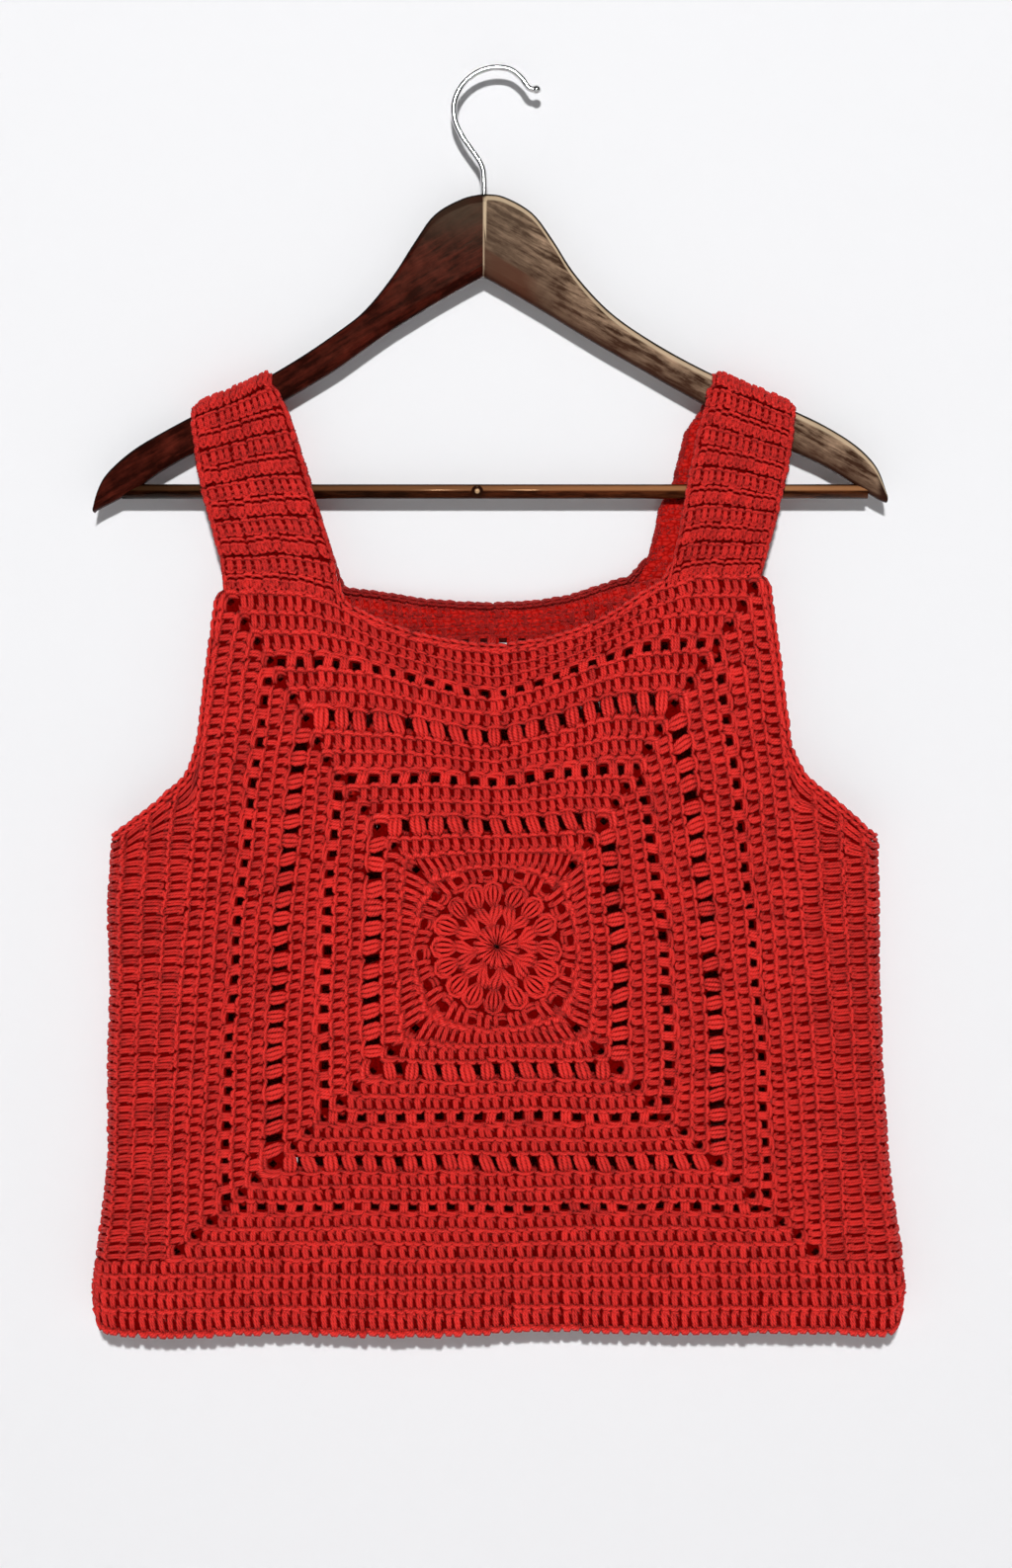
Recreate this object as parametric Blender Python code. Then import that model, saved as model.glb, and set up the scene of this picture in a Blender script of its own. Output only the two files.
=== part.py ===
"""Crochet top on its wooden clothes hanger.

Metres, +Z up.  The origin is the point under the hook's crown where a nail carries the hanger.
The front of the top faces -Y.  Tables hold millimetres and are scaled by MM.
"""
import math

import bmesh
import bpy
import numpy as np
from mathutils import Matrix, Vector
from mathutils.geometry import delaunay_2d_cdt

MM = 0.001
SEAM = 0.15 * MM                  # each piece stops this far short of a seam: 0.3 mm between two

# ---- hanger ---------------------------------------------------------------------------------
JOINT_X = -4.7 * MM               # plane where the two arms are glued together
ARM_THICKNESS = 13.0 * MM
ARM_ROUND = 5.0 * MM              # rounded long edges
ARM_STEPS = 2                     # outline points for each row of the arm tables
# run: distance from the joint; top and under: heights of the arm's two edges
ARM_COLUMNS = ("run", "top", "under")
LEFT_ARM = (
    (0.0, -69.5, -115.9),
    (12.0, -72.3, -122.3),
    (27.5, -81.2, -131.2),
    (39.0, -97.0, -138.3),
    (51.0, -115.6, -145.7),
    (66.4, -134.6, -156.5),
    (82.0, -147.1, -167.6),
    (105.4, -162.9, -181.8),
    (134.3, -179.6, -199.0),
    (164.9, -195.2, -216.0),
    (182.6, -204.8, -226.3),
    (195.1, -212.3, -235.5),
    (205.1, -220.2, -241.0),
    (213.0, -228.6, -245.0),
    (217.2, -237.4, -247.2),
    (219.1, -246.0, -248.6),
)
RIGHT_ARM = (
    (0.0, -69.5, -115.9),
    (11.4, -71.2, -122.3),
    (27.0, -80.1, -131.5),
    (38.5, -95.0, -138.4),
    (50.3, -113.4, -145.7),
    (65.9, -131.2, -155.1),
    (81.5, -144.0, -164.0),
    (104.8, -158.5, -177.4),
    (128.7, -171.0, -190.8),
    (150.4, -180.9, -203.5),
    (174.3, -191.5, -214.6),
    (190.7, -199.4, -222.1),
    (205.6, -208.4, -231.0),
    (215.5, -216.8, -237.4),
    (222.0, -225.7, -241.2),
    (226.4, -238.8, -243.0),
)
BAR_DIAMETER = 8.3 * MM
BAR_Z = -236.7 * MM
BAR_LEFT = -208.0 * MM            # ends sit in blind holes in the arms
BAR_RIGHT = 211.0 * MM
BAR_SIDES = 12
HOLE_GAP = 0.3 * MM               # clearance all round a rod or wire in its hole

HOOK_WIRE = 3.5 * MM
HOOK_BALL = 5.0 * MM
HOOK_STEPS = 2
# centreline of the bent wire (x, z), from the stem in the wood to the ball end
HOOK_LINE = (
    (-4.7, -86.0),
    (-4.7, -60.5),
    (-6.6, -52.0),
    (-11.9, -44.2),
    (-17.0, -36.6),
    (-20.8, -28.0),
    (-21.3, -18.0),
    (-17.2, -8.6),
    (-9.4, -1.5),
    (0.3, 1.75),
    (9.6, 0.9),
    (16.3, -3.9),
    (20.6, -9.6),
    (25.0, -10.6),
)

# ---- crochet body -----------------------------------------------------------------------------
WALL = 2.2 * MM
CENTRE_X = 2.2 * MM               # middle of the big square
CENTRE_Z = -492.6 * MM
FRONT = -1
BACK = 1

# rounds of the big square: stitch kind and outer radius, measured to the middle of a side
ROUNDS = (
    ("petal", 12.0),
    ("petal", 24.0),
    ("petal", 36.7),
    ("post", 46.2),
    ("post", 55.0),
    ("post", 63.4),
    ("puff", 75.0),
    ("post", 82.6),
    ("post", 91.2),
    ("eyelet", 100.0),
    ("post", 107.4),
    ("post", 115.1),
    ("puff", 126.2),
    ("post", 134.0),
    ("post", 142.3),
    ("eyelet", 149.6),
    ("post", 157.4),
    ("post", 165.4),
    ("post", 174.6),
)
EDGE = ROUNDS[-1][1] * MM
ROUND_UNTIL = 36.7 * MM           # rounds are true circles up to here
SQUARE_FROM = 60.0 * MM           # and true squares from here

# how far a corner of each round lies out and up from the centre, as a share of its radius;
# the upper right corner is the steep one
CORNER_COLUMNS = ("radius", "low_out", "low_down", "high_out", "high_up", "steep_out", "steep_up")
CORNERS = (
    (0.0, 1.0, 1.0, 1.0, 1.0, 1.0, 1.0),
    (45.0, 1.0, 1.0, 0.98, 0.96, 0.92, 0.98),
    (69.0, 1.0, 1.0, 0.96, 0.97, 0.87, 1.02),
    (96.0, 1.01, 1.0, 0.925, 1.0, 0.83, 1.06),
    (121.0, 1.03, 1.0, 0.885, 1.06, 0.83, 1.14),
    (146.0, 1.04, 1.0, 0.866, 1.10, 0.847, 1.17),
    (161.0, 1.05, 1.0, 0.875, 1.13, 0.86, 1.195),
    (174.6, 1.05, 1.0, 0.872, 1.14, 0.85, 1.19),
)
# height of the middle of each round's top side, as a share of its radius
SAG_COLUMNS = ("radius", "front", "back")
TOP_SAG = (
    (0.0, 1.0, 1.0),
    (63.0, 0.99, 1.03),
    (115.0, 0.965, 1.12),
    (146.0, 0.972, 1.19),
    (174.6, 0.945, 1.085),
)
# climb of a top side from its sagging middle (0) to its corner (1)
CLIMB_COLUMNS = ("share_of_side", "row", "neck", "back")
CLIMB = (
    (0.0, 0.0, 0.0, 0.0),
    (0.15, 0.17, 0.06, 0.06),
    (0.3, 0.42, 0.20, 0.28),
    (0.45, 0.65, 0.43, 0.70),
    (0.6, 0.86, 0.80, 0.98),
    (0.75, 0.98, 0.98, 1.0),
    (1.0, 1.0, 1.0, 1.0),
)
# shares of the top side where the neck stops and the straps begin
NECK_LEFT = -0.575
NECK_RIGHT = 0.64
BACK_NECK_RIGHT = 0.52            # on the back the right strap sits further in

# side fold: half widths of the hanging body
FOLD_COLUMNS = ("z", "left", "right")
FOLD = (
    (-707.0, -223.0, 230.0),
    (-689.4, -224.0, 231.3),
    (-662.8, -221.3, 229.6),
    (-636.1, -217.6, 224.6),
    (-609.4, -214.8, 221.8),
    (-562.7, -215.2, 218.5),
    (-516.0, -213.7, 217.0),
    (-469.3, -215.5, 216.6),
    (-435.0, -213.5, 216.0),
    (-340.0, -213.0, 216.0),
)
# outer line of the armhole's edging, from the shoulder down to the side fold
ARMHOLE_COLUMNS = ("z", "left", "right")
ARMHOLE = (
    (-349.2, -158.5, 161.8),
    (-362.5, -160.1, 164.0),
    (-375.9, -164.6, 167.4),
    (-389.2, -168.5, 171.8),
    (-396.0, -171.6, 175.4),
    (-402.5, -178.4, 183.2),
    (-409.2, -186.2, 191.8),
    (-415.9, -194.6, 199.6),
    (-421.8, -203.0, 206.0),
    (-426.5, -208.8, 211.4),
    (-430.0, -213.5, 216.0),
)
HEM_TOP = CENTRE_Z - EDGE
HEM_BOTTOM = -707.0 * MM
HEM_LEVELS = (0.0, 0.11, 0.22, 0.33, 0.44, 0.565, 0.69, 0.85, 1.0)   # row edges and middles
HEM_CORNER = 11.0 * MM            # rounding of the hem's two low corners
HEM_WAVE = 2.0 * MM               # the lower edge dips and rises
HEM_PARTS = 18                    # points along the front, and along the back

# half depth of the hanging body, outside
DEPTH_COLUMNS = ("z", "half_depth")
DEPTH = (
    (-707.0, 11.8),
    (-640.0, 11.2),
    (-520.0, 10.4),
    (-400.0, 9.8),
    (-300.0, 9.4),
    (-150.0, 9.4),
)
FOLD_ROUND = 10.5 * MM            # how far in from the side the fold starts to curve

# soft waves of the hanging cloth: heights and lengths of the two wave trains
FLUTE_HEIGHT = 1.3 * MM           # upright flutes, growing toward the hem
FLUTE_LENGTH = 31.0 * MM
SWAY_HEIGHT = 1.0 * MM            # broad hollows all over
SWAY_ACROSS = 58.0 * MM
SWAY_DOWN = 75.0 * MM
SHOULDER_Z = -300.0 * MM          # where the panels end and the straps begin

# relief of the outer skin
RIDGE = 0.55 * MM
VALLEY = -0.35 * MM
PUFF = 1.7 * MM
CREASE_X = 186.0 * MM             # pressed fold under the right arm
CREASE_WIDTH = 4.5 * MM
CREASE_DEPTH = 2.4 * MM
CREASE_TOP = -428.0 * MM
CREASE_END = -560.0 * MM

# open gaps beside the puffs
GAP_WIDTH = 4.1 * MM
GAP_LEAN = -1.6 * MM              # the gaps lean with the puffs
GAP_MARGIN = 1.5 * MM             # from a gap's ends to the rounds beside it
STITCH_PITCH = 10.7 * MM          # one puff and one gap
CORNER_HOLE = 4.4 * MM

# ---- straps -----------------------------------------------------------------------------------
STRAP_COLUMNS = ("z", "outer", "inner")
STRAP_LEFT_FRONT = (
    (-300.0, -150.1, -85.0),
    (-275.8, -151.8, -88.4),
    (-249.1, -159.0, -97.3),
    (-222.4, -164.6, -105.6),
    (-195.7, -167.9, -114.0),
    (-176.0, -166.0, -122.5),
    (-160.0, -165.0, -127.0),
)
STRAP_LEFT_BACK = (
    (-300.0, -150.1, -85.0),
    (-275.8, -152.5, -89.4),
    (-249.1, -158.6, -98.0),
    (-222.4, -163.6, -106.4),
    (-195.7, -167.0, -114.6),
    (-176.0, -165.8, -122.5),
    (-160.0, -165.0, -127.0),
)
STRAP_RIGHT_FRONT = (
    (-294.0, 156.2, 97.3),
    (-282.4, 156.8, 100.1),
    (-260.2, 160.1, 105.3),
    (-226.9, 165.1, 111.2),
    (-205.2, 167.9, 115.6),
    (-187.0, 169.6, 120.5),
    (-168.0, 168.8, 125.0),
)
STRAP_RIGHT_BACK = (
    (-294.0, 154.2, 79.0),
    (-286.3, 155.0, 80.1),
    (-271.3, 157.0, 88.8),
    (-245.9, 161.6, 95.1),
    (-230.7, 164.3, 102.7),
    (-201.8, 167.9, 110.5),
    (-190.0, 169.2, 118.5),
    (-168.0, 168.8, 125.0),
)
STRAP_WALL = 2.2 * MM
STRAP_LIFT = 0.5 * MM             # cloth over the arm's top edge
STRAP_STAND = {"left": 3.4 * MM, "right": 1.2 * MM}   # outer edge stands off the arm
STRAP_BAND_ROWS = ((0.0, -0.7), (0.16, 0.45), (0.5, -0.1), (0.84, 0.45))
STRAP_ACROSS = 3
WRAP_STEPS = 3                    # points on each rounded corner over the arm

# ---- edgings ----------------------------------------------------------------------------------
EDGING_WIDTH = 4.2 * MM
EDGING_DEPTH = 3.4 * MM
EDGING_SIDES = 6
NECK_EDGING_SHY = 0.02            # the neck edging stops short of the straps, as a share of the side
ARMHOLE_EDGING_TOP = 0.985        # where the armhole edging starts below a shoulder corner

# ---- colours ----------------------------------------------------------------------------------
YARN = ((0.60, 0.022, 0.016), 0.85, 0.0)
LACQUER = ((0.045, 0.008, 0.005), 0.25, 0.0)
BAR_WOOD = ((0.16, 0.035, 0.012), 0.3, 0.0)
STEEL = ((0.72, 0.72, 0.70), 0.2, 1.0)


# ---- scene and materials ------------------------------------------------------------------------
for old in list(bpy.data.objects):
    bpy.data.objects.remove(old, do_unlink=True)

top_collection = bpy.data.collections.new("crochet_top_on_hanger")
cutter_collection = bpy.data.collections.new("cutters")
bpy.context.scene.collection.children.link(top_collection)
bpy.context.scene.collection.children.link(cutter_collection)


def finish(name, look):
    """A Principled material from (colour, roughness, metallic)."""
    colour, roughness, metallic = look
    material = bpy.data.materials.new(name)
    material.use_nodes = True
    shader = material.node_tree.nodes["Principled BSDF"]
    shader.inputs["Base Color"].default_value = (*colour, 1.0)
    shader.inputs["Roughness"].default_value = roughness
    shader.inputs["Metallic"].default_value = metallic
    return material


def add_object(name, mesh_or_curve, look):
    """Link a new object with its own material."""
    piece = bpy.data.objects.new(name, mesh_or_curve)
    mesh_or_curve.materials.append(finish(name + "_finish", look))
    top_collection.objects.link(piece)
    return piece


def closed_mesh(name, bm):
    """Close a bmesh into mesh data with its faces pointing out."""
    bmesh.ops.recalc_face_normals(bm, faces=bm.faces)
    bmesh.ops.triangulate(bm, faces=bm.faces)
    mesh = bpy.data.meshes.new(name)
    bm.to_mesh(mesh)
    bm.free()
    if sum_volume(mesh) < 0.0:
        mesh.flip_normals()
    return mesh


def sum_volume(mesh):
    """Signed volume of a closed mesh."""
    total = 0.0
    for face in mesh.polygons:
        a, b, c = (mesh.vertices[i].co for i in face.vertices)
        total += a.dot(b.cross(c)) / 6.0
    return total


# ---- tables -------------------------------------------------------------------------------------
def column(table, names, wanted, at):
    """Read one column of a table at a value of its first column, which is given times MM."""
    rows = sorted(table)
    keys = [row[0] * MM for row in rows]
    values = [row[names.index(wanted)] for row in rows]
    return float(np.interp(at, keys, values))


def smooth_line(points, steps):
    """Catmull-Rom line through points, with steps pieces between two of them."""
    rows = [Vector(p) for p in points]
    rows = [2 * rows[0] - rows[1]] + rows + [2 * rows[-1] - rows[-2]]
    line = []
    for i in range(1, len(rows) - 2):
        a, b, c, d = rows[i - 1:i + 3]
        for k in range(steps):
            t = k / steps
            line.append(0.5 * (2 * b + (c - a) * t + (2 * a - 5 * b + 4 * c - d) * t * t
                               + (3 * b - a - 3 * c + d) * t ** 3))
    line.append(rows[-2])
    return line


def ease(value, low, high):
    """0 below low, 1 above high, smooth between."""
    share = min(1.0, max(0.0, (value - low) / (high - low)))
    return share * share * (3.0 - 2.0 * share)


# ---- hanger -------------------------------------------------------------------------------------
def arm_line(table, edge):
    """Smooth top or under edge of an arm: distance from the joint, and height."""
    place = ARM_COLUMNS.index(edge)
    return smooth_line([(row[0] * MM, row[place] * MM, 0.0) for row in table], ARM_STEPS)


def arm_top(table, run):
    """Height of an arm's top edge at a distance from the joint."""
    line = arm_line(table, "top")
    return float(np.interp(run, [p.x for p in line], [p.y for p in line]))


def arm_section(x, top, under):
    """Closed section of an arm across its length: a rectangle with rounded corners."""
    corner_z = min(ARM_ROUND * 1.1, 0.42 * (top - under))
    ring = []
    for quarter in range(4):
        toward_y = 1 if quarter in (0, 3) else -1
        toward_z = 1 if quarter < 2 else -1
        centre_y = toward_y * (ARM_THICKNESS / 2 - ARM_ROUND)
        centre_z = top - corner_z if toward_z > 0 else under + corner_z
        for k in range(3):
            angle = math.pi / 2 * (quarter + k / 2)
            ring.append(Vector((x, centre_y + ARM_ROUND * math.cos(angle),
                                centre_z + corner_z * math.sin(angle))))
    return ring


def make_arm(name, table, side):
    """One arm, lofted from the glued joint out to its tip."""
    top = arm_line(table, "top")
    under = arm_line(table, "under")
    rings = [arm_section(JOINT_X + side * (a.x + SEAM), a.y, b.y) for a, b in zip(top, under)]
    return loft_rings(name, rings, LACQUER)


def loft_rings(name, rings, look):
    """A solid lofted through closed rings of points, with flat ends."""
    bm = bmesh.new()
    loops = [[bm.verts.new(p) for p in ring] for ring in rings]
    for low, high in zip(loops, loops[1:]):
        count = len(low)
        for k in range(count):
            after = (k + 1) % count
            bm.faces.new((low[k], low[after], high[after], high[k]))
    bm.faces.new(loops[0])
    bm.faces.new(loops[-1])
    return add_object(name, closed_mesh(name, bm), look)


def add_cutter(name, radius, start, end, sides):
    """A cylinder that cuts a hole, left out of the part."""
    axis = Vector(end) - Vector(start)
    turn = axis.to_track_quat("Z", "Y").to_matrix().to_4x4()
    place = Matrix.Translation((Vector(start) + Vector(end)) / 2) @ turn
    bm = bmesh.new()
    bmesh.ops.create_cone(bm, cap_ends=True, segments=sides, radius1=radius, radius2=radius,
                          depth=axis.length, matrix=place)
    mesh = bpy.data.meshes.new(name)
    bm.to_mesh(mesh)
    bm.free()
    cutter = bpy.data.objects.new(name, mesh)
    cutter.hide_render = True
    cutter.display_type = "WIRE"
    cutter_collection.objects.link(cutter)
    return cutter


def cut(piece, cutter):
    """Exact Boolean difference."""
    modifier = piece.modifiers.new(cutter.name, "BOOLEAN")
    modifier.operation = "DIFFERENCE"
    modifier.solver = "EXACT"
    modifier.object = cutter


arm_left = make_arm("hanger_arm_left", LEFT_ARM, -1)
arm_right = make_arm("hanger_arm_right", RIGHT_ARM, 1)

bar_hole = add_cutter("bar_hole", BAR_DIAMETER / 2 + HOLE_GAP, (BAR_LEFT - HOLE_GAP, 0.0, BAR_Z),
                      (BAR_RIGHT + HOLE_GAP, 0.0, BAR_Z), BAR_SIDES)
stem_hole = add_cutter("stem_hole", HOOK_WIRE / 2 + HOLE_GAP,
                       (JOINT_X, 0.0, HOOK_LINE[0][1] * MM - HOLE_GAP), (JOINT_X, 0.0, -60.0 * MM), 8)
for arm in (arm_left, arm_right):
    cut(arm, bar_hole)
    cut(arm, stem_hole)

bar_mesh = bmesh.new()
bar_place = Matrix.Translation(((BAR_LEFT + BAR_RIGHT) / 2, 0.0, BAR_Z))
bar_place = bar_place @ Matrix.Rotation(math.pi / 2, 4, "Y")
bmesh.ops.create_cone(bar_mesh, cap_ends=True, segments=BAR_SIDES, radius1=BAR_DIAMETER / 2,
                      radius2=BAR_DIAMETER / 2, depth=BAR_RIGHT - BAR_LEFT, matrix=bar_place)
add_object("hanger_bar", closed_mesh("hanger_bar", bar_mesh), BAR_WOOD)


def make_hook():
    """Bent wire with a ball end, as one closed body."""
    wire = bpy.data.curves.new("hanger_hook_line", "CURVE")
    wire.dimensions = "3D"
    wire.bevel_depth = HOOK_WIRE / 2
    wire.bevel_resolution = 2
    wire.use_fill_caps = True
    line = smooth_line([(x, 0.0, z) for x, z in HOOK_LINE], HOOK_STEPS)
    spline = wire.splines.new("POLY")
    spline.points.add(len(line) - 1)
    for point, place in zip(spline.points, line):
        point.co = (*(place * MM), 1.0)
    guide = bpy.data.objects.new("hanger_hook_line", wire)
    cutter_collection.objects.link(guide)
    bpy.context.view_layer.update()
    evaluated = guide.evaluated_get(bpy.context.evaluated_depsgraph_get())
    mesh = bpy.data.meshes.new_from_object(evaluated)
    bm = bmesh.new()
    bm.from_mesh(mesh)
    bmesh.ops.remove_doubles(bm, verts=bm.verts, dist=0.01 * MM)
    bpy.data.objects.remove(guide, do_unlink=True)
    hook = add_object("hanger_hook", closed_mesh("hanger_hook", bm), STEEL)
    ball = bmesh.new()
    end = line[-1] * MM
    bmesh.ops.create_icosphere(ball, subdivisions=2, radius=HOOK_BALL / 2,
                               matrix=Matrix.Translation(end))
    ball_mesh = bpy.data.meshes.new("hook_ball")
    ball.to_mesh(ball_mesh)
    ball.free()
    ball_object = bpy.data.objects.new("hook_ball", ball_mesh)
    ball_object.hide_render = True
    ball_object.display_type = "WIRE"
    cutter_collection.objects.link(ball_object)
    join = hook.modifiers.new("ball", "BOOLEAN")
    join.operation = "UNION"
    join.solver = "EXACT"
    join.object = ball_object
    return hook


make_hook()


# ---- the plane of the big square ------------------------------------------------------------------
def corner(side_x, side_z, radius):
    """Where a round's corner lies, out and up from the square's centre."""
    if side_z < 0:
        out = column(CORNERS, CORNER_COLUMNS, "low_out", radius)
        up = -column(CORNERS, CORNER_COLUMNS, "low_down", radius)
    else:
        shape = "steep" if side_x > 0 else "high"
        out = column(CORNERS, CORNER_COLUMNS, shape + "_out", radius)
        up = column(CORNERS, CORNER_COLUMNS, shape + "_up", radius)
    return Vector((side_x * out * radius, up * radius))


def bow(start, middle, end, t):
    """Parabola through three points at t = -1, 0 and 1."""
    return middle + (end - start) * (t / 2) + ((start + end) / 2 - middle) * (t * t)


def top_side(face, radius, t):
    """A round's top side: it sags in the middle and climbs to its corners."""
    left = corner(-1, 1, radius)
    right = corner(1, 1, radius)
    sag = column(TOP_SAG, SAG_COLUMNS, "front" if face == FRONT else "back", radius) * radius
    share = abs(t) * MM
    if face == BACK:
        climb = column(CLIMB, CLIMB_COLUMNS, "back", share)
    else:
        near_neck = ease(radius, 140.0 * MM, EDGE)
        row = column(CLIMB, CLIMB_COLUMNS, "row", share)
        climb = row + (column(CLIMB, CLIMB_COLUMNS, "neck", share) - row) * near_neck
    end = left if t < 0 else right
    return Vector((bow(left, Vector((0.0, 0.0)), right, t).x, sag + (end.y - sag) * climb))


def square_point(face, side, radius, t):
    """A point of a square round; t runs clockwise along a side from -1 to 1."""
    if side == "top":
        return top_side(face, radius, t)
    if side == "right":
        return bow(corner(1, 1, radius), Vector((0.99 * radius, 0.0)),
                   corner(1, -1, radius), t)
    if side == "bottom":
        return bow(corner(1, -1, radius), Vector((0.0, -radius)),
                   corner(-1, -1, radius), t)
    return bow(corner(-1, -1, radius), Vector((-radius, 0.0)),
               corner(-1, 1, radius), t)


SIDES = ("top", "right", "bottom", "left")


def lay(face, side, radius, t):
    """A point of the panel's plane, (x, z) in the part's frame."""
    place = square_point(face, side, radius, t)
    squareness = ease(radius, ROUND_UNTIL, SQUARE_FROM)
    if squareness < 1.0:
        angle = math.pi / 2 - (SIDES.index(side) + t / 2) * math.pi / 2
        circle = Vector((math.cos(angle), math.sin(angle))) * radius
        place = circle.lerp(place, squareness)
    return Vector((CENTRE_X + place.x, CENTRE_Z + place.y))


# ---- the hanging body in depth ----------------------------------------------------------------------
def half_depth(z):
    return column(DEPTH, DEPTH_COLUMNS, "half_depth", z) * MM


def fold_x(side, z):
    return column(FOLD, FOLD_COLUMNS, "left" if side < 0 else "right", z) * MM


def drape(face, x, z):
    """Soft waves of the hanging cloth, fading out at the side folds and shoulders."""
    low = 1.0 - ease(z, -660.0 * MM, -480.0 * MM)
    flutes = FLUTE_HEIGHT * low * math.sin(x / FLUTE_LENGTH + 0.8 * face)
    sway = SWAY_HEIGHT * math.sin(x / SWAY_ACROSS - 0.4) * math.sin((z - SHOULDER_Z) / SWAY_DOWN + face)
    side = -1 if x < 0 else 1
    inside = 1.0 - ease(abs(x), abs(fold_x(side, z)) - 45.0 * MM, abs(fold_x(side, z)) - 14.0 * MM)
    shoulder = 1.0 - ease(z, -400.0 * MM, SHOULDER_Z - 10.0 * MM)
    return (flutes + sway) * inside * shoulder


def crease(face, x, z):
    """Depth of the pressed fold under the right arm."""
    if face == BACK:
        return 0.0
    fade = ease(z, CREASE_END, CREASE_END + 60.0 * MM)
    fade *= 1.0 - ease(z, CREASE_TOP, CREASE_TOP + 12.0 * MM)
    return CREASE_DEPTH * fade * math.exp(-((x - CREASE_X) / CREASE_WIDTH) ** 2)


def skin_y(face, x, z, raised, depth_in):
    """Y of the cloth: raised stands out of the outer surface, depth_in goes into the wall."""
    return face * (half_depth(z) + raised - depth_in - crease(face, x, z)) + drape(face, x, z)


# ---- front and back panels ------------------------------------------------------------------------
LOW_PARTS = 12                    # edge pieces of a side column below the armhole
HIGH_PARTS = 3                    # and beside the armhole
ARMHOLE_START = {-1: 0.60, 1: 0.56}   # where a side column meets the armhole edge


def side_nodes(side):
    """Places along a left or right side, upwards, shared with the side panel beside it."""
    start = ARMHOLE_START[side]
    low = [-1 + (start + 1) * k / LOW_PARTS for k in range(LOW_PARTS)]
    high = [start + (1 - start) * k / HIGH_PARTS for k in range(HIGH_PARTS + 1)]
    return low + high


def neck_limits(face):
    """Ends of the neck along the top side."""
    return NECK_LEFT, (BACK_NECK_RIGHT if face == BACK else NECK_RIGHT)


def top_nodes(face):
    """Places along the top side, left to right, shared with the straps and the neck edging."""
    low, high = neck_limits(face)
    shoulder = [-1 + (1 + low) * k / STRAP_ACROSS for k in range(STRAP_ACROSS)]
    neck = [low + (high - low) * k / 12 for k in range(12)]
    other = [high + (1 - high) * k / STRAP_ACROSS for k in range(STRAP_ACROSS + 1)]
    return shoulder + neck + other


def bottom_nodes():
    return [-1 + 2 * k / 16 for k in range(17)]


def panel_outline(face, inset):
    """The panel's edge, clockwise from the top left corner."""
    radius = EDGE - inset
    outline = [lay(face, "top", radius, t) for t in top_nodes(face)[:-1]]
    outline += [lay(face, "right", radius, -t) for t in side_nodes(1)[::-1][:-1]]
    outline += [lay(face, "bottom", radius, t) for t in bottom_nodes()[:-1]]
    outline += [lay(face, "left", radius, t) for t in side_nodes(-1)[:-1]]
    return outline


def round_spans():
    """(kind, inner radius, outer radius) of each round."""
    inner = 0.0
    spans = []
    for kind, outer in ROUNDS:
        spans.append((kind, inner * MM, outer * MM))
        inner = outer
    return spans


def side_length(face, side, radius):
    line = [lay(face, side, radius, -1 + k / 6) for k in range(13)]
    return sum((b - a).length for a, b in zip(line, line[1:]))


def puff_gaps(face, side, inner, outer):
    """Gaps and puffs along one side of a puff round: four-cornered holes and raised points.

    They stand straight out from the round before, between the two corner holes. Those of the back
    lie half a stitch further along, so no gap of the front lies over one of the back.
    """
    middle = (inner + outer) / 2
    stretch = side_length(face, side, middle) / (2 * middle)
    reach = inner + GAP_MARGIN
    count = int(2 * reach * stretch / STITCH_PITCH)
    half = GAP_WIDTH / 2 / stretch
    lean = GAP_LEAN / 2 / stretch
    low, high = inner + GAP_MARGIN, outer - GAP_MARGIN
    shift = 0 if face == FRONT else 1
    holes = []
    puffs = []
    for k in range(1 - shift, count):
        along = reach * ((2 * k + shift) / count - 1)
        near, far = along - lean, along + lean
        holes.append([lay(face, side, low, (near - half) / low), lay(face, side, high, (far - half) / high),
                      lay(face, side, high, (far + half) / high), lay(face, side, low, (near + half) / low)])
    for k in range(count - shift):
        along = reach * ((2 * k + 1 + shift) / count - 1)
        puffs.append(lay(face, side, middle, along / middle))
    return holes, puffs


def corner_hole(face, side, inner, outer):
    """A small square hole in the corner at the start of a side."""
    centre = lay(face, side, (inner + outer) / 2, -1)
    step = CORNER_HOLE / 2
    return [centre + Vector((-step, 0)), centre + Vector((0, step)),
            centre + Vector((step, 0)), centre + Vector((0, -step))]


def ring_nodes(side, radius):
    """Places along a side at which the ridges of a round are given."""
    count = 4 if radius < SQUARE_FROM else (6 if side == "top" else 3)
    return [-1 + 2 * k / count for k in range(count)]


class Plan:
    """A flat plan of points, lines between them and holes, each point with its relief."""

    def __init__(self):
        self.points = []
        self.relief = []
        self.lines = []
        self.holes = []

    def add(self, place, relief):
        self.points.append(Vector((place.x, place.y)))
        self.relief.append(relief)
        return len(self.points) - 1

    def loop(self, places, relief):
        """Add a closed line; returns its point numbers."""
        numbers = [self.add(p, relief) for p in places]
        self.lines += list(zip(numbers, numbers[1:] + numbers[:1]))
        return numbers

    def triangles(self):
        """Triangles inside the outline and outside the holes."""
        made = delaunay_2d_cdt(self.points, self.lines, [], 1, 1e-7)
        assert len(made[0]) == len(self.points), "plan points meet or cross"
        owner = {n: i for i, hole in enumerate(self.holes) for n in hole}
        origin = {new: old[0] for new, old in enumerate(made[3])}
        kept = []
        for face in made[2]:
            numbers = [origin[n] for n in face]
            owners = {owner.get(n, -1 - n) for n in numbers}
            if len(owners) > 1:
                kept.append(numbers)
        return kept


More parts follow.
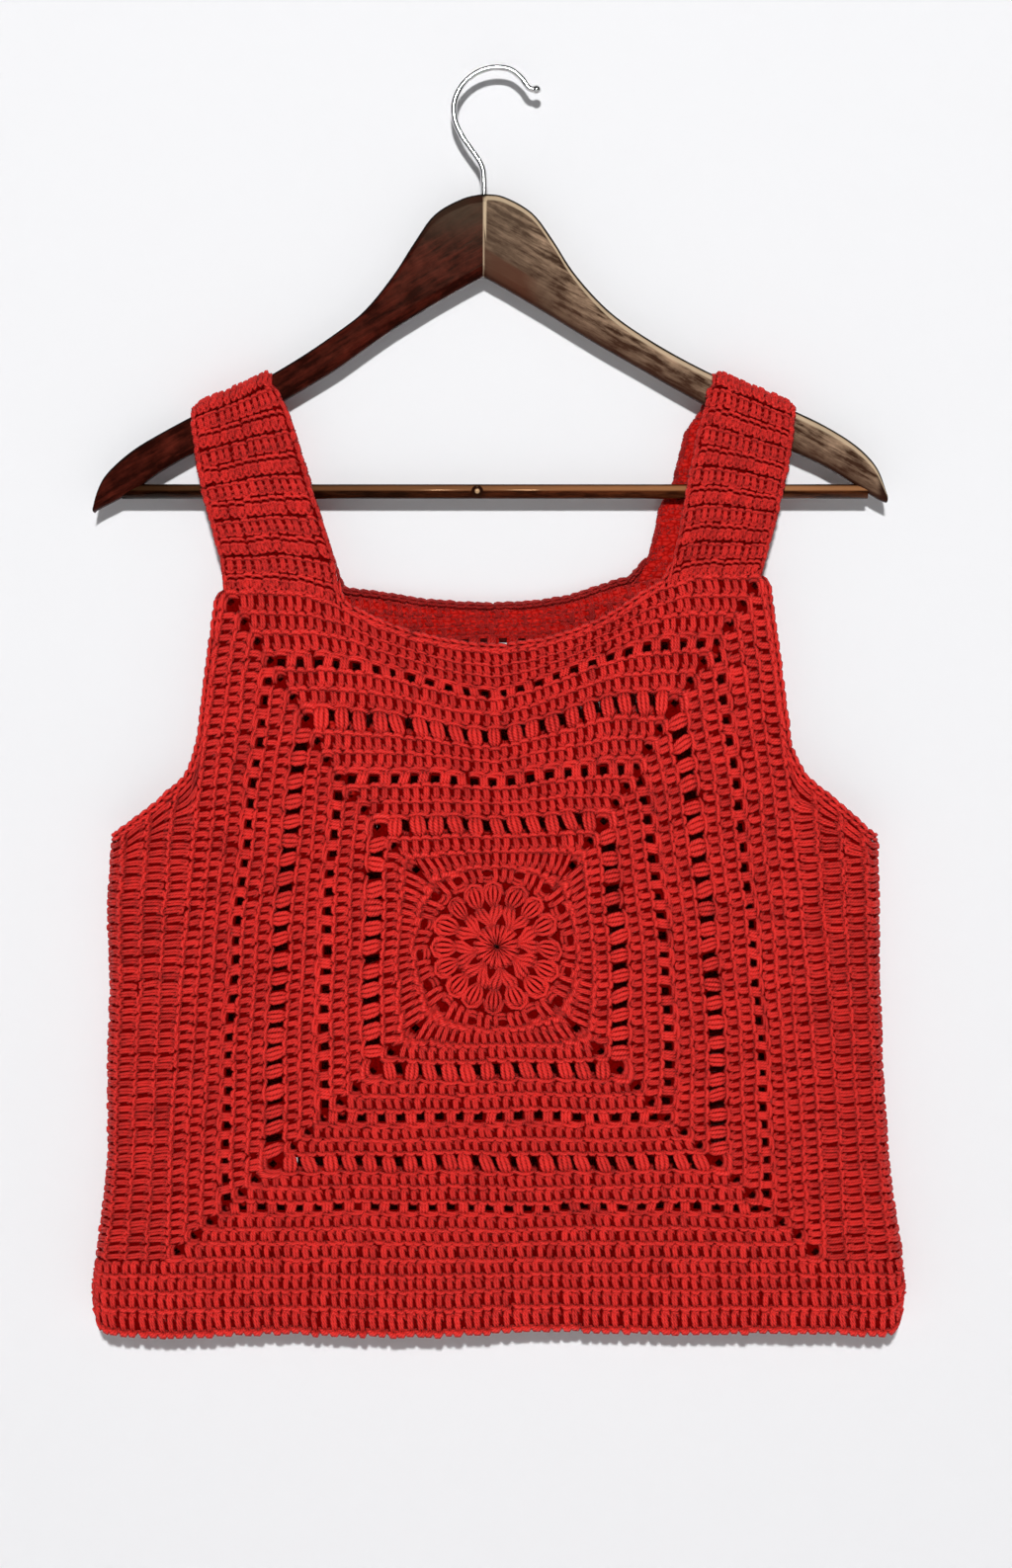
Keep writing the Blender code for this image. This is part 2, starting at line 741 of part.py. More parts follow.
def panel_plans(face):
    """Plans of the relieved outer skin and of the plain inner skin."""
    outside = Plan()
    inside = Plan()
    for plan in (outside, inside):
        plan.outline = plan.loop(panel_outline(face, SEAM), 0.0)
    for kind, inner, outer in round_spans():
        for side in SIDES:
            if kind == "puff":
                holes, puffs = puff_gaps(face, side, inner, outer)
                hole = corner_hole(face, side, inner, outer)
                for places in holes + [hole]:
                    for plan in (outside, inside):
                        plan.holes.append(plan.loop(places, 0.0))
                for place in puffs:
                    outside.add(place, PUFF)
        middle = (inner + outer) / 2
        levels = [(outer, RIDGE)]
        if kind == "post":
            levels.append((middle, VALLEY))
        if kind == "eyelet":
            levels.append((middle, 2.2 * VALLEY))
        if kind == "petal":
            levels.append((middle, 0.7 * PUFF))
        for radius, relief in levels:
            if radius < EDGE - MM:
                outside.loop([lay(face, side, radius, t)
                              for side in SIDES for t in ring_nodes(side, radius)], relief)
    outside.add(lay(face, "top", 0.0, 0.0), VALLEY)
    for radius in (30.0 * MM, 95.0 * MM, 150.0 * MM):
        for side in SIDES:
            for t in (-1.0, 0.0):
                inside.add(lay(face, side, radius, t), 0.0)
    return outside, inside


def make_panel(name, face):
    """One panel: relieved outer skin, plain inner skin, and walls round its edge and holes."""
    outside, inside = panel_plans(face)
    bm = bmesh.new()
    outer = [bm.verts.new((p.x, skin_y(face, p.x, p.y, h, 0.0), p.y))
             for p, h in zip(outside.points, outside.relief)]
    inner = [bm.verts.new((p.x, skin_y(face, p.x, p.y, 0.0, WALL), p.y)) for p in inside.points]
    for plan, verts in ((outside, outer), (inside, inner)):
        for numbers in plan.triangles():
            bm.faces.new([verts[n] for n in numbers])
    for ring_out, ring_in in zip([outside.outline] + outside.holes, [inside.outline] + inside.holes):
        count = len(ring_out)
        for k in range(count):
            after = (k + 1) % count
            bm.faces.new((outer[ring_out[k]], outer[ring_out[after]],
                          inner[ring_in[after]], inner[ring_in[k]]))
    return add_object(name, closed_mesh(name, bm), YARN)


make_panel("front_panel", FRONT)
make_panel("back_panel", BACK)


# ---- walls lofted from rows of points -----------------------------------------------------------------
def loft_wall(name, outer_rows, inner_rows, ring=False):
    """A closed wall between an outer and an inner grid of points; ring joins each row's ends."""
    bm = bmesh.new()
    grids = [[[bm.verts.new(p) for p in row] for row in rows] for rows in (outer_rows, inner_rows)]
    for grid in grids:
        for low, high in zip(grid, grid[1:]):
            count = len(low)
            for k in range(count if ring else count - 1):
                after = (k + 1) % count
                bm.faces.new((low[k], low[after], high[after], high[k]))
    outer, inner = grids
    count = len(outer[0])
    for row_out, row_in in ((outer[0], inner[0]), (outer[-1], inner[-1])):
        for k in range(count if ring else count - 1):
            after = (k + 1) % count
            bm.faces.new((row_out[k], row_out[after], row_in[after], row_in[k]))
    if not ring:
        for j in range(len(outer) - 1):
            for k in (0, -1):
                bm.faces.new((outer[j][k], outer[j + 1][k], inner[j + 1][k], inner[j][k]))
    return add_object(name, closed_mesh(name, bm), YARN)


# ---- side panels ------------------------------------------------------------------------------------
SIDE_COLUMNS = 4                  # columns of stitches on each face of a side panel
FOLD_STEPS = 5                    # points round the fold


def around_fold(side, z, x_flat, share, depth_in):
    """A point of the section between a flat edge at x_flat and the fold, share 0 to 1.

    Returns x, and y as a share of the front's direction, so the back mirrors it.
    """
    edge = abs(fold_x(side, z))
    start = edge - FOLD_ROUND
    flat = start - abs(x_flat)
    depth = half_depth(z)
    quarter = 0.5 * math.pi * (FOLD_ROUND + depth) / 2
    along = share * (flat + quarter)
    if along <= flat:
        return side * (abs(x_flat) + along), depth - depth_in
    angle = (along - flat) / quarter * math.pi / 2
    return (side * (start + (FOLD_ROUND - depth_in) * math.sin(angle)),
            (depth - depth_in) * math.cos(angle))


def fold_share(side, z, x, x_flat):
    """Share between the flat edge and the fold at which the outline has this x."""
    edge = abs(fold_x(side, z))
    start = edge - FOLD_ROUND
    flat = start - abs(x_flat)
    quarter = 0.5 * math.pi * (FOLD_ROUND + half_depth(z)) / 2
    reach = abs(x)
    if reach <= start:
        return (reach - abs(x_flat)) / (flat + quarter)
    angle = math.asin(min(1.0, (reach - start) / FOLD_ROUND))
    return (flat + angle / (math.pi / 2) * quarter) / (flat + quarter)


def seam_line(face, side, inset):
    """The panel's side edge below the armhole, bottom to top, moved out by inset."""
    name = "left" if side < 0 else "right"
    nodes = side_nodes(side)[:LOW_PARTS + 1]
    return [lay(face, name, EDGE + inset, t if side < 0 else -t) for t in nodes]


def armhole_cloth_line(side):
    """The armhole edge of the cloth itself: the table's line moved in by the edging's width."""
    key = ARMHOLE_COLUMNS.index("left" if side < 0 else "right")
    line = [Vector((row[key], row[0])) * MM for row in ARMHOLE]
    moved = []
    for k, place in enumerate(line):
        along = line[min(k + 1, len(line) - 1)] - line[max(k - 1, 0)]
        inward = Vector((along.y, -along.x)).normalized() * side
        moved.append(place + inward * (EDGING_WIDTH + 2 * SEAM))
    return moved


def armhole_tops(side, seam):
    """Share between seam and fold, and height, along the armhole edge."""
    top = seam[-1]
    shares = [0.0]
    heights = [top.y]
    line = armhole_cloth_line(side)
    for place in line:
        flat_x = np.interp(place.y, [p.y for p in seam], [p.x for p in seam])
        share = fold_share(side, place.y, place.x, flat_x)
        if place.y < top.y - MM and share > shares[-1]:
            shares.append(share)
            heights.append(place.y)
    shares.append(1.0)
    heights.append(line[-1].y)
    return shares, heights


def side_shares():
    """Shares from seam to fold: each column's edges and middles, then closer round the fold."""
    return [k / (2 * SIDE_COLUMNS) for k in range(2 * SIDE_COLUMNS)] + [1.0]


def side_relief(index):
    """Columns stand up at their edges and lie low between them."""
    return RIDGE if index % 2 == 0 else VALLEY


def side_grid(side, depth_in, relieved):
    """Rows of points from front seam round the fold to back seam, from hem to armhole."""
    rows = []
    shares = side_shares()
    seams = {face: seam_line(face, side, SEAM) for face in (FRONT, BACK)}
    tops = {face: armhole_tops(side, seams[face]) for face in (FRONT, BACK)}
    bottom = HEM_TOP + SEAM
    for j in range(LOW_PARTS + 1):
        row = []
        for face in (FRONT, BACK):
            seam = seams[face]
            part = []
            for i, share in enumerate(shares):
                top = np.interp(share, *tops[face])
                level = (seam[j].y - seam[0].y) / (seam[-1].y - seam[0].y)
                z = bottom + (top - bottom) * level
                flat_x = np.interp(z, [p.y for p in seam], [p.x for p in seam])
                if i == 0:
                    flat_x = seam[j].x
                    z = seam[j].y if j else bottom
                x, y = around_fold(side, z, flat_x, share, depth_in)
                raised = side_relief(i) if relieved and 0 < i else 0.0
                y += raised - crease(face, x, z)
                part.append((x, face * y + drape(face, x, z), z))
            row += part if face == FRONT else part[::-1][1:]
        rows.append(row)
    return rows


for side, side_name in ((-1, "left"), (1, "right")):
    loft_wall("side_panel_" + side_name, side_grid(side, 0.0, True), side_grid(side, WALL, False))


# ---- hem band ---------------------------------------------------------------------------------------
def hem_section(level, depth_in, raised):
    """One closed row of the hem band, from the left fold along the front and back again."""
    row = []
    for face in (FRONT, BACK):
        half = []
        for side in (-1, 1):
            z = HEM_TOP - SEAM + (HEM_BOTTOM - HEM_TOP) * level
            start = abs(fold_x(side, z)) - FOLD_ROUND
            angles = [math.pi / 2 * k / FOLD_STEPS for k in range(FOLD_STEPS, 0, -1)]
            curve = [(side * (start + (FOLD_ROUND - depth_in + raised) * math.sin(a)),
                      (half_depth(z) - depth_in + raised) * math.cos(a)) for a in angles]
            half.append(curve if side < 0 else curve[::-1])
        left_flat = half[0][-1][0] + 3.0 * MM
        right_flat = half[1][0][0] - 3.0 * MM
        flat = [left_flat + (right_flat - left_flat) * k / HEM_PARTS for k in range(HEM_PARTS + 1)]
        depth = half_depth(HEM_TOP + (HEM_BOTTOM - HEM_TOP) * level) - depth_in + raised
        line = half[0] + [(x, depth) for x in flat] + half[1]
        points = []
        for x, y in line:
            z = HEM_TOP - SEAM + (hem_edge(x) - HEM_TOP) * level
            points.append((x, face * y + drape(face, x, z), z))
        row += points if face == FRONT else points[::-1][1:-1]
    return row


def hem_edge(x):
    """Height of the lower edge: gentle dips, rising into rounded corners."""
    side = -1 if x < 0 else 1
    start = abs(fold_x(side, HEM_BOTTOM)) - HEM_CORNER
    past = min(HEM_CORNER, max(0.0, abs(x) - start))
    rise = HEM_CORNER - math.sqrt(HEM_CORNER ** 2 - past ** 2)
    wave = HEM_WAVE * math.sin(x / (33.0 * MM) + 0.4) * math.cos(x / (71.0 * MM))
    return HEM_BOTTOM + rise + wave * (1.0 - past / HEM_CORNER)


hem_outer = [hem_section(level, 0.0, VALLEY if k % 2 else (RIDGE if k else 0.0))
             for k, level in enumerate(HEM_LEVELS)]
hem_inner = [hem_section(level, WALL, 0.0) for level in HEM_LEVELS[::4]]
loft_wall("hem_band", hem_outer, hem_inner, ring=True)


# ---- straps -------------------------------------------------------------------------------------------
STRAPS = {
    ("left", FRONT): STRAP_LEFT_FRONT,
    ("left", BACK): STRAP_LEFT_BACK,
    ("right", FRONT): STRAP_RIGHT_FRONT,
    ("right", BACK): STRAP_RIGHT_BACK,
}
STRAP_BANDS = 5                   # bands of two rows on each face
CLOTH_ROUND = 5.7 * MM            # inside rounding over the arm's edges


def strap_base(name, face):
    """Points where a strap meets its panel, outer edge first."""
    low, high = neck_limits(face)
    start, end = (-1, low) if name == "left" else (1, high)
    return [lay(face, "top", EDGE + SEAM, start + (end - start) * k / STRAP_ACROSS)
            for k in range(STRAP_ACROSS + 1)]


def strap_x(name, face, z, across, base, share):
    """X of a strap's column, across 0 outer to 1 inner, drawn to its base point near the panel."""
    table = STRAPS[name, face]

    def width_at(height):
        outer = column(table, STRAP_COLUMNS, "outer", height) * MM
        inner = column(table, STRAP_COLUMNS, "inner", height) * MM
        return outer + (inner - outer) * across

    return width_at(z) + (base.x - width_at(base.y)) * (1.0 - share) ** 2


def over_arm(name, face, across, base):
    """Height of the cloth's inside over the hanger arm, and X there."""
    table = LEFT_ARM if name == "left" else RIGHT_ARM
    z = base.y + 0.1
    for turn in range(8):
        x = strap_x(name, face, z, across, base, 1.0)
        z = arm_top(table, abs(x - JOINT_X)) + STRAP_LIFT + STRAP_STAND[name] * (1.0 - across) ** 2
    return z, x


def strap_column(name, across, bases, depth_in, relieved):
    """Points of one column, from the front panel over the arm to the back panel."""
    halves = []
    for face in (FRONT, BACK):
        base = bases[face]
        crown, crown_x = over_arm(name, face, across, base)
        shoulder = crown - CLOTH_ROUND
        points = []
        for band in range(STRAP_BANDS):
            for part, relief in STRAP_BAND_ROWS:
                share = (band + part) / STRAP_BANDS
                z = base.y + (shoulder - base.y) * share
                raised = relief * MM if relieved and share > 0.0 else 0.0
                y = half_depth(z) - depth_in + raised
                points.append((strap_x(name, face, z, across, base, share), face * y, z))
        round_out = CLOTH_ROUND + STRAP_WALL - depth_in
        for k in range(WRAP_STEPS + 1):
            angle = math.pi / 2 * k / WRAP_STEPS
            y = half_depth(shoulder) - STRAP_WALL - CLOTH_ROUND + round_out * math.cos(angle)
            points.append((crown_x, face * y, shoulder + round_out * math.sin(angle)))
        halves.append(points)
    return halves[0] + halves[1][::-1]


def strap_rows(name, depth_in, relieved):
    bases = {face: strap_base(name, face) for face in (FRONT, BACK)}
    columns = []
    for k in range(STRAP_ACROSS + 1):
        here = {face: bases[face][k] for face in (FRONT, BACK)}
        columns.append(strap_column(name, k / STRAP_ACROSS, here, depth_in, relieved))
    return [list(row) for row in zip(*columns)]


for strap in ("left", "right"):
    loft_wall("strap_" + strap, strap_rows(strap, 0.0, True), strap_rows(strap, STRAP_WALL, False))


# ---- edgings --------------------------------------------------------------------------------------------
def sweep(name, path, outward):
    """A flat-oval cord along path; outward is the cloth's outward direction at each point."""
    rings = []
    for k, place in enumerate(path):
        along = (path[min(k + 1, len(path) - 1)] - path[max(k - 1, 0)]).normalized()
        out = (outward[k] - along * outward[k].dot(along)).normalized()
        up = along.cross(out)
        angles = [2 * math.pi * (n + 0.5) / EDGING_SIDES for n in range(EDGING_SIDES)]
        rings.append([place + up * (EDGING_WIDTH / 2 * math.cos(a))
                      + out * (EDGING_DEPTH / 2 * math.sin(a)) for a in angles])
    return loft_rings(name, rings, YARN)


EDGING_SEAT = EDGING_WIDTH / 2 + 2 * SEAM   # from the cloth's edge to the edging's middle


def mitre(path, k):
    """Cosine of half the turn that a path makes at one of its points."""
    before = (path[k] - path[max(k - 1, 0)]).normalized()
    after = (path[min(k + 1, len(path) - 1)] - path[k]).normalized()
    if before.length == 0 or after.length == 0:
        return 1.0
    return math.sqrt(max(0.25, (1.0 + before.dot(after)) / 2))


def neck_edging(name, face):
    """Edging along the neck between the straps."""
    low, high = neck_limits(face)
    low += NECK_EDGING_SHY
    high -= NECK_EDGING_SHY
    path = []
    for k in range(19):
        place = lay(face, "top", EDGE, low + (high - low) * k / 18)
        path.append(Vector((place.x, face * (half_depth(place.y) - WALL / 2), place.y)))
    lifted = []
    for k, place in enumerate(path):
        along = path[min(k + 1, len(path) - 1)] - path[max(k - 1, 0)]
        up = Vector((-along.z, 0.0, along.x)).normalized()
        lifted.append(place + up * (EDGING_SEAT / mitre(path, k)))
    return sweep(name, lifted, [Vector((0.0, face, 0.0))] * len(path))


neck_edging("neck_edging_front", FRONT)
neck_edging("neck_edging_back", BACK)


def armhole_edging(name, side):
    """Edging from the front shoulder, down under the arm and up to the back shoulder."""
    key = "left" if side < 0 else "right"
    start = ARMHOLE_START[side]
    rows = side_grid(side, WALL / 2, False)[-1]
    cloth = []
    for face in (FRONT, BACK):
        part = []
        for k in range(HIGH_PARTS + 1):
            t = ARMHOLE_EDGING_TOP + (start + 0.02 - ARMHOLE_EDGING_TOP) * k / HIGH_PARTS
            place = lay(face, key, EDGE, t if side < 0 else -t)
            y = skin_y(face, place.x, place.y, 0.0, WALL / 2)
            part.append(Vector((place.x, y, place.y)))
        cloth.append(part)
    path = cloth[0] + [Vector(p) for p in rows[1:-1]] + cloth[1][::-1]
    moved = []
    outward = []
    fold = Vector((fold_x(side, rows[len(rows) // 2][2]) - side * FOLD_ROUND, 0.0, 0.0))
    for k, place in enumerate(path):
        along = (path[min(k + 1, len(path) - 1)] - path[max(k - 1, 0)]).normalized()
        past = max(0.0, side * (place.x - fold.x))
        normal = Vector((side * past, place.y, 0.0)).normalized()
        open_way = along.cross(normal) * side
        if open_way.z < -0.3 or (abs(open_way.z) <= 0.3 and open_way.x * side < 0):
            open_way = -open_way
        moved.append(place + open_way * (EDGING_SEAT / mitre(path, k)))
        outward.append(normal)
    return sweep(name, moved, outward)


armhole_edging("armhole_edging_left", -1)
armhole_edging("armhole_edging_right", 1)
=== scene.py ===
"""Crochet top on its wooden clothes hanger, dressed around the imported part."""

import math

import bmesh
import bpy
import numpy as np
from mathutils import Matrix, Vector
from mathutils.geometry import delaunay_2d_cdt


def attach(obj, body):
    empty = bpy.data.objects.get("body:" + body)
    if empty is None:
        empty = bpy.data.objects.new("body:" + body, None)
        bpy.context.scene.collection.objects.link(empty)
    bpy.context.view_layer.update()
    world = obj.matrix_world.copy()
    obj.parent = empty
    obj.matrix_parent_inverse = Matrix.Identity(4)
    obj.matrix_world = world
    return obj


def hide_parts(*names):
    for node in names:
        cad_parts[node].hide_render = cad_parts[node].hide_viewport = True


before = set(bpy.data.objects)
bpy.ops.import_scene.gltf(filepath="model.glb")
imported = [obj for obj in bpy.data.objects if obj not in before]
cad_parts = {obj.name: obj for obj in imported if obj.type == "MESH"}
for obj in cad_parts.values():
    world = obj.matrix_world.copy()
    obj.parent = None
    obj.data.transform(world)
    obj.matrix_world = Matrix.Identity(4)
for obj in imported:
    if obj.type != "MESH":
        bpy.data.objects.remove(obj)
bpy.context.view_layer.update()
MM = 0.001

# ---- room --------------------------------------------------------------------------------------
# A plain white studio: the hanger hangs on a white wall, with a pale floor well below the hem.
# The wall and floor are there only from their front, so other views look straight at the top.
# Soft boxes stand in front and above; the camera looks straight on.
WALL_Y = 16.2 * MM
FLOOR_Z = -0.98
ROOM_WIDE, WALL_HIGH, FLOOR_DEEP = 5.0, 3.2, 3.0
MIDDLE = (0.0, 0.0, -0.40)
CAMERA_AT = (7.8 * MM, -1.60, -401.2 * MM)


def plug(tree, made, plugs):
    """Fill a node's inputs: a socket is linked to its input, and any other value is set on it."""
    for key, value in plugs.items():
        if isinstance(value, bpy.types.NodeSocket):
            tree.links.new(value, made.inputs[key])
        else:
            made.inputs[key].default_value = value


def node(tree, kind, plugs=None, **settings):
    """Add a node of a kind, with its inputs filled and its settings made."""
    made = tree.nodes.new("ShaderNode" + kind)
    for key, value in settings.items():
        setattr(made, key, value)
    plug(tree, made, plugs or {})
    return made


def sums(tree, operation, *values, **settings):
    """The result of one sum."""
    return node(tree, "Math", dict(enumerate(values)), operation=operation, **settings).outputs[0]


def new_material(name, **plugs):
    """A node material; returns it with its tree and shader."""
    material = bpy.data.materials.new(name)
    material.use_nodes = True
    shader = material.node_tree.nodes["Principled BSDF"]
    plug(material.node_tree, shader, {key.replace("_", " "): value for key, value in plugs.items()})
    return material, material.node_tree, shader


def linked(name, data):
    """An object in the scene."""
    made = bpy.data.objects.new(name, data)
    bpy.context.scene.collection.objects.link(made)
    return made


def one_sided(name, colour, roughness):
    """A plain surface that can't be seen from behind and lets the light behind it through."""
    material, tree, paint = new_material(name, Base_Color=(*colour, 1.0), Roughness=roughness,
                                         Specular_IOR_Level=0.1)
    path = node(tree, "LightPath").outputs
    first = sums(tree, "LESS_THAN", path["Diffuse Depth"], 0.5)
    direct = sums(tree, "MULTIPLY", path["Is Shadow Ray"], first)
    seen_through = sums(tree, "MAXIMUM", node(tree, "NewGeometry").outputs["Backfacing"], direct)
    clear = node(tree, "BsdfTransparent")
    choose = node(tree, "MixShader", {0: seen_through, 1: paint.outputs["BSDF"], 2: clear.outputs["BSDF"]})
    plug(tree, tree.nodes["Material Output"], {"Surface": choose.outputs["Shader"]})
    return material


def backdrop(name, size, turn, place, material):
    """A flat sheet of the studio."""
    bm = bmesh.new()
    bmesh.ops.create_grid(bm, x_segments=1, y_segments=1, size=0.5)
    bmesh.ops.scale(bm, vec=(*size, 1.0), verts=bm.verts)
    bmesh.ops.rotate(bm, matrix=turn, verts=bm.verts)
    bmesh.ops.translate(bm, vec=place, verts=bm.verts)
    mesh = bpy.data.meshes.new(name)
    bm.to_mesh(mesh)
    bm.free()
    mesh.materials.append(material)
    linked(name, mesh)


backdrop("studio_wall", (ROOM_WIDE, WALL_HIGH), Matrix.Rotation(math.pi / 2, 3, "X"),
         (0.0, WALL_Y, FLOOR_Z + WALL_HIGH / 2), one_sided("white_wall", (0.86, 0.86, 0.875), 0.8))
backdrop("studio_floor", (ROOM_WIDE, FLOOR_DEEP), Matrix.Identity(3), (0.0, WALL_Y - FLOOR_DEEP / 2, FLOOR_Z),
         one_sided("pale_floor", (0.70, 0.70, 0.70), 0.6))


def soft_box(name, place, size, watts):
    """A rectangular studio light turned toward the middle of the top."""
    lamp = bpy.data.lights.new(name, "AREA")
    lamp.shape = "RECTANGLE"
    lamp.size, lamp.size_y = size
    lamp.energy = watts
    light = linked(name, lamp)
    light.location = place
    light.rotation_mode = "QUATERNION"
    light.rotation_quaternion = (Vector(MIDDLE) - Vector(place)).to_track_quat("-Z", "Y")


soft_box("key_light", (0.0, -4.4, 1.12), (0.30, 0.24), 183.0)
soft_box("fill_left", (-2.2, -1.7, 0.0), (1.4, 1.8), 1.0)
soft_box("fill_right", (2.3, -1.7, 0.1), (1.4, 1.8), 0.8)
soft_box("back_light", (0.5, 2.6, -0.1), (0.8, 0.8), 46.0)

# the air sheds a faint light; looked at, it is as pale as the wall
sky = bpy.data.worlds.new("studio_air")
sky.use_nodes = True
tree = sky.node_tree
glow = sums(tree, "MULTIPLY_ADD", node(tree, "LightPath").outputs["Is Camera Ray"], 0.75, 0.035)
plug(tree, tree.nodes["Background"], {"Color": (0.92, 0.95, 1.0, 1.0), "Strength": glow})
bpy.context.scene.world = sky
bpy.context.scene.view_settings.view_transform = "Standard"

lens = bpy.data.cameras.new("camera")
lens.sensor_width = 36.0
lens.lens = 65.3
camera = linked("camera", lens)
camera.location = CAMERA_AT
camera.rotation_mode = "QUATERNION"
camera.rotation_quaternion = Vector((0.0, 1.0, 0.0)).to_track_quat("-Z", "Z")
bpy.context.scene.camera = camera

# ---- hanger arms ---------------------------------------------------------------------------------
# Two arms of hardwood, sawn to shape, rounded along every edge and glued together in the middle.
# They are stained mahogany under a gloss lacquer; the right arm is painted lighter and browner, partly for
# its grain and partly as painted reflection.
JOINT_X = -4.7 * MM
ARM_THICK = 13.0 * MM
ARM_ROUND = 5.0 * MM
ARM_SIDES, ARM_STEPS = 24, 5
LEFT_ARM = (  # run from the joint, top edge, under edge, in millimetres
    (0.0, -69.5, -115.9), (12.0, -72.3, -122.3), (27.5, -81.2, -131.2), (39.0, -97.0, -138.3),
    (51.0, -115.6, -145.7), (66.4, -134.6, -156.5), (82.0, -147.1, -167.6), (105.4, -162.9, -181.8),
    (134.3, -179.6, -199.0), (164.9, -195.2, -216.0), (182.6, -204.8, -226.3), (195.1, -212.3, -235.5),
    (205.1, -220.2, -241.0), (213.0, -228.6, -245.0), (217.2, -237.4, -247.2), (219.1, -246.0, -248.6))
RIGHT_ARM = (
    (0.0, -69.5, -115.9), (11.4, -71.2, -122.3), (27.0, -80.1, -131.5), (38.5, -95.0, -138.4),
    (50.3, -113.4, -145.7), (65.9, -131.2, -155.1), (81.5, -144.0, -164.0), (104.8, -158.5, -177.4),
    (128.7, -171.0, -190.8), (150.4, -180.9, -203.5), (174.3, -191.5, -214.6), (190.7, -199.4, -222.1),
    (205.6, -208.4, -231.0), (215.5, -216.8, -237.4), (222.0, -225.7, -241.2), (226.4, -238.8, -243.0))
GLUE = (0.42, 0.30, 0.20)


def neighbours(line, k):
    """The points before and after one of a line, or that point itself at an end."""
    return line[max(k - 1, 0)], line[min(k + 1, len(line) - 1)]


def smooth_line(points, steps):
    """Points of a smooth line through the given ones, with steps pieces between two of them."""
    rows = [Vector(p) for p in points]
    rows = [2 * rows[0] - rows[1]] + rows + [2 * rows[-1] - rows[-2]]
    line = []
    for i in range(1, len(rows) - 2):
        a, b, c, d = rows[i - 1:i + 3]
        for k in range(steps):
            t = k / steps
            line.append(0.5 * (2 * b + (c - a) * t + (2 * a - 5 * b + 4 * c - d) * t * t
                               + (3 * b - a - 3 * c + d) * t ** 3))
    line.append(rows[-2])
    return line


def shown(name, bm, materials, replaced=()):
    """Finish a bmesh as a piece that rides on the part, and hide the parts it replaces."""
    mesh = bpy.data.meshes.new(name)
    bm.to_mesh(mesh)
    bm.free()
    mesh.polygons.foreach_set("use_smooth", [True] * len(mesh.polygons))
    for material in materials:
        mesh.materials.append(material)
    if len(materials) > 1:
        # the second is for the side that faces the hollow of the garment
        for face in mesh.polygons:
            face.material_index = int(face.normal.y * face.center.y < 0.0)
    piece = linked(name, mesh)
    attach(piece, "root")
    if replaced:
        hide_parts(*replaced)
    return piece


def stacked_rings(sides, count, radius=1.0):
    """A bmesh of rings, each extruded from the one before, still to be set in their places."""
    bm = bmesh.new()
    rings = [bmesh.ops.create_circle(bm, segments=sides, radius=radius)["verts"]]
    while len(rings) < count:
        last = set(rings[-1])
        edges = [e for e in bm.edges if last.issuperset(e.verts)]
        made = bmesh.ops.extrude_edge_only(bm, edges=edges)["geom"]
        rings.append([v for v in made if isinstance(v, bmesh.types.BMVert)])
    return bm, rings


def close_ends(bm, rings):
    """Fill the first and the last ring."""
    for end in (rings[0], rings[-1]):
        bmesh.ops.contextual_create(bm, geom=end)
    bmesh.ops.recalc_face_normals(bm, faces=bm.faces)


def ramp(tree, factor, *stops):
    """A colour ramp over (position, colour) stops."""
    made = node(tree, "ValToRGB", {"Fac": factor})
    band = made.color_ramp
    while len(band.elements) < len(stops):
        band.elements.new(0.5)
    for element, (place, colour) in zip(band.elements, stops):
        element.position = place
        element.color = (*colour, 1.0)
    return made.outputs["Color"]


def new_group(name, given, results):
    """Shader nodes that several materials share; given and results name its sockets and their kinds."""
    group = bpy.data.node_groups.new(name, "ShaderNodeTree")
    for way, sockets in (("INPUT", given), ("OUTPUT", results)):
        for label, kind in sockets.items():
            group.interface.new_socket(label, in_out=way, socket_type="NodeSocket" + kind)
    return group, group.nodes.new("NodeGroupInput").outputs, group.nodes.new("NodeGroupOutput")


def speckle(tree, place, size, detail, rough):
    """Cloudy noise over a place."""
    noise = node(tree, "TexNoise", {"Vector": place, "Scale": size, "Detail": detail, "Roughness": rough})
    return noise.outputs["Fac"]


def mapped(tree, value, low, high, start=0.0, end=1.0, **settings):
    """A value's share of the way from low to high, as a number from start to end."""
    plugs = {"Value": value, "From Min": low, "From Max": high, "To Min": start, "To Max": end}
    return node(tree, "MapRange", plugs, **settings).outputs["Result"]


def mixed(tree, share, first, second, **settings):
    """Two colours mixed."""
    return node(tree, "Mix", {0: share, 6: first, 7: second}, data_type="RGBA", **settings).outputs[2]


def painted_where(tree, base, mask, colour):
    """Lay a colour over base where mask is 1."""
    return mixed(tree, mask, base, (*colour, 1.0))


def between(tree, value, low, high, soft):
    """1 where a value lies between low and high, with soft edges."""
    first = mapped(tree, value, low - soft, low + soft, interpolation_type="SMOOTHSTEP")
    last = mapped(tree, value, high - soft, high + soft, 1.0, 0.0, interpolation_type="SMOOTHSTEP")
    return sums(tree, "MULTIPLY", first, last)


def bumped(tree, shader, height, strength, distance):
    """Let a height show in a surface's shading."""
    relief = node(tree, "Bump", {"Height": height, "Strength": strength, "Distance": distance})
    plug(tree, shader, {"Normal": relief.outputs["Normal"]})


def on_piece(tree):
    """The surface's place on the piece itself."""
    return node(tree, "TexCoord").outputs["Object"]


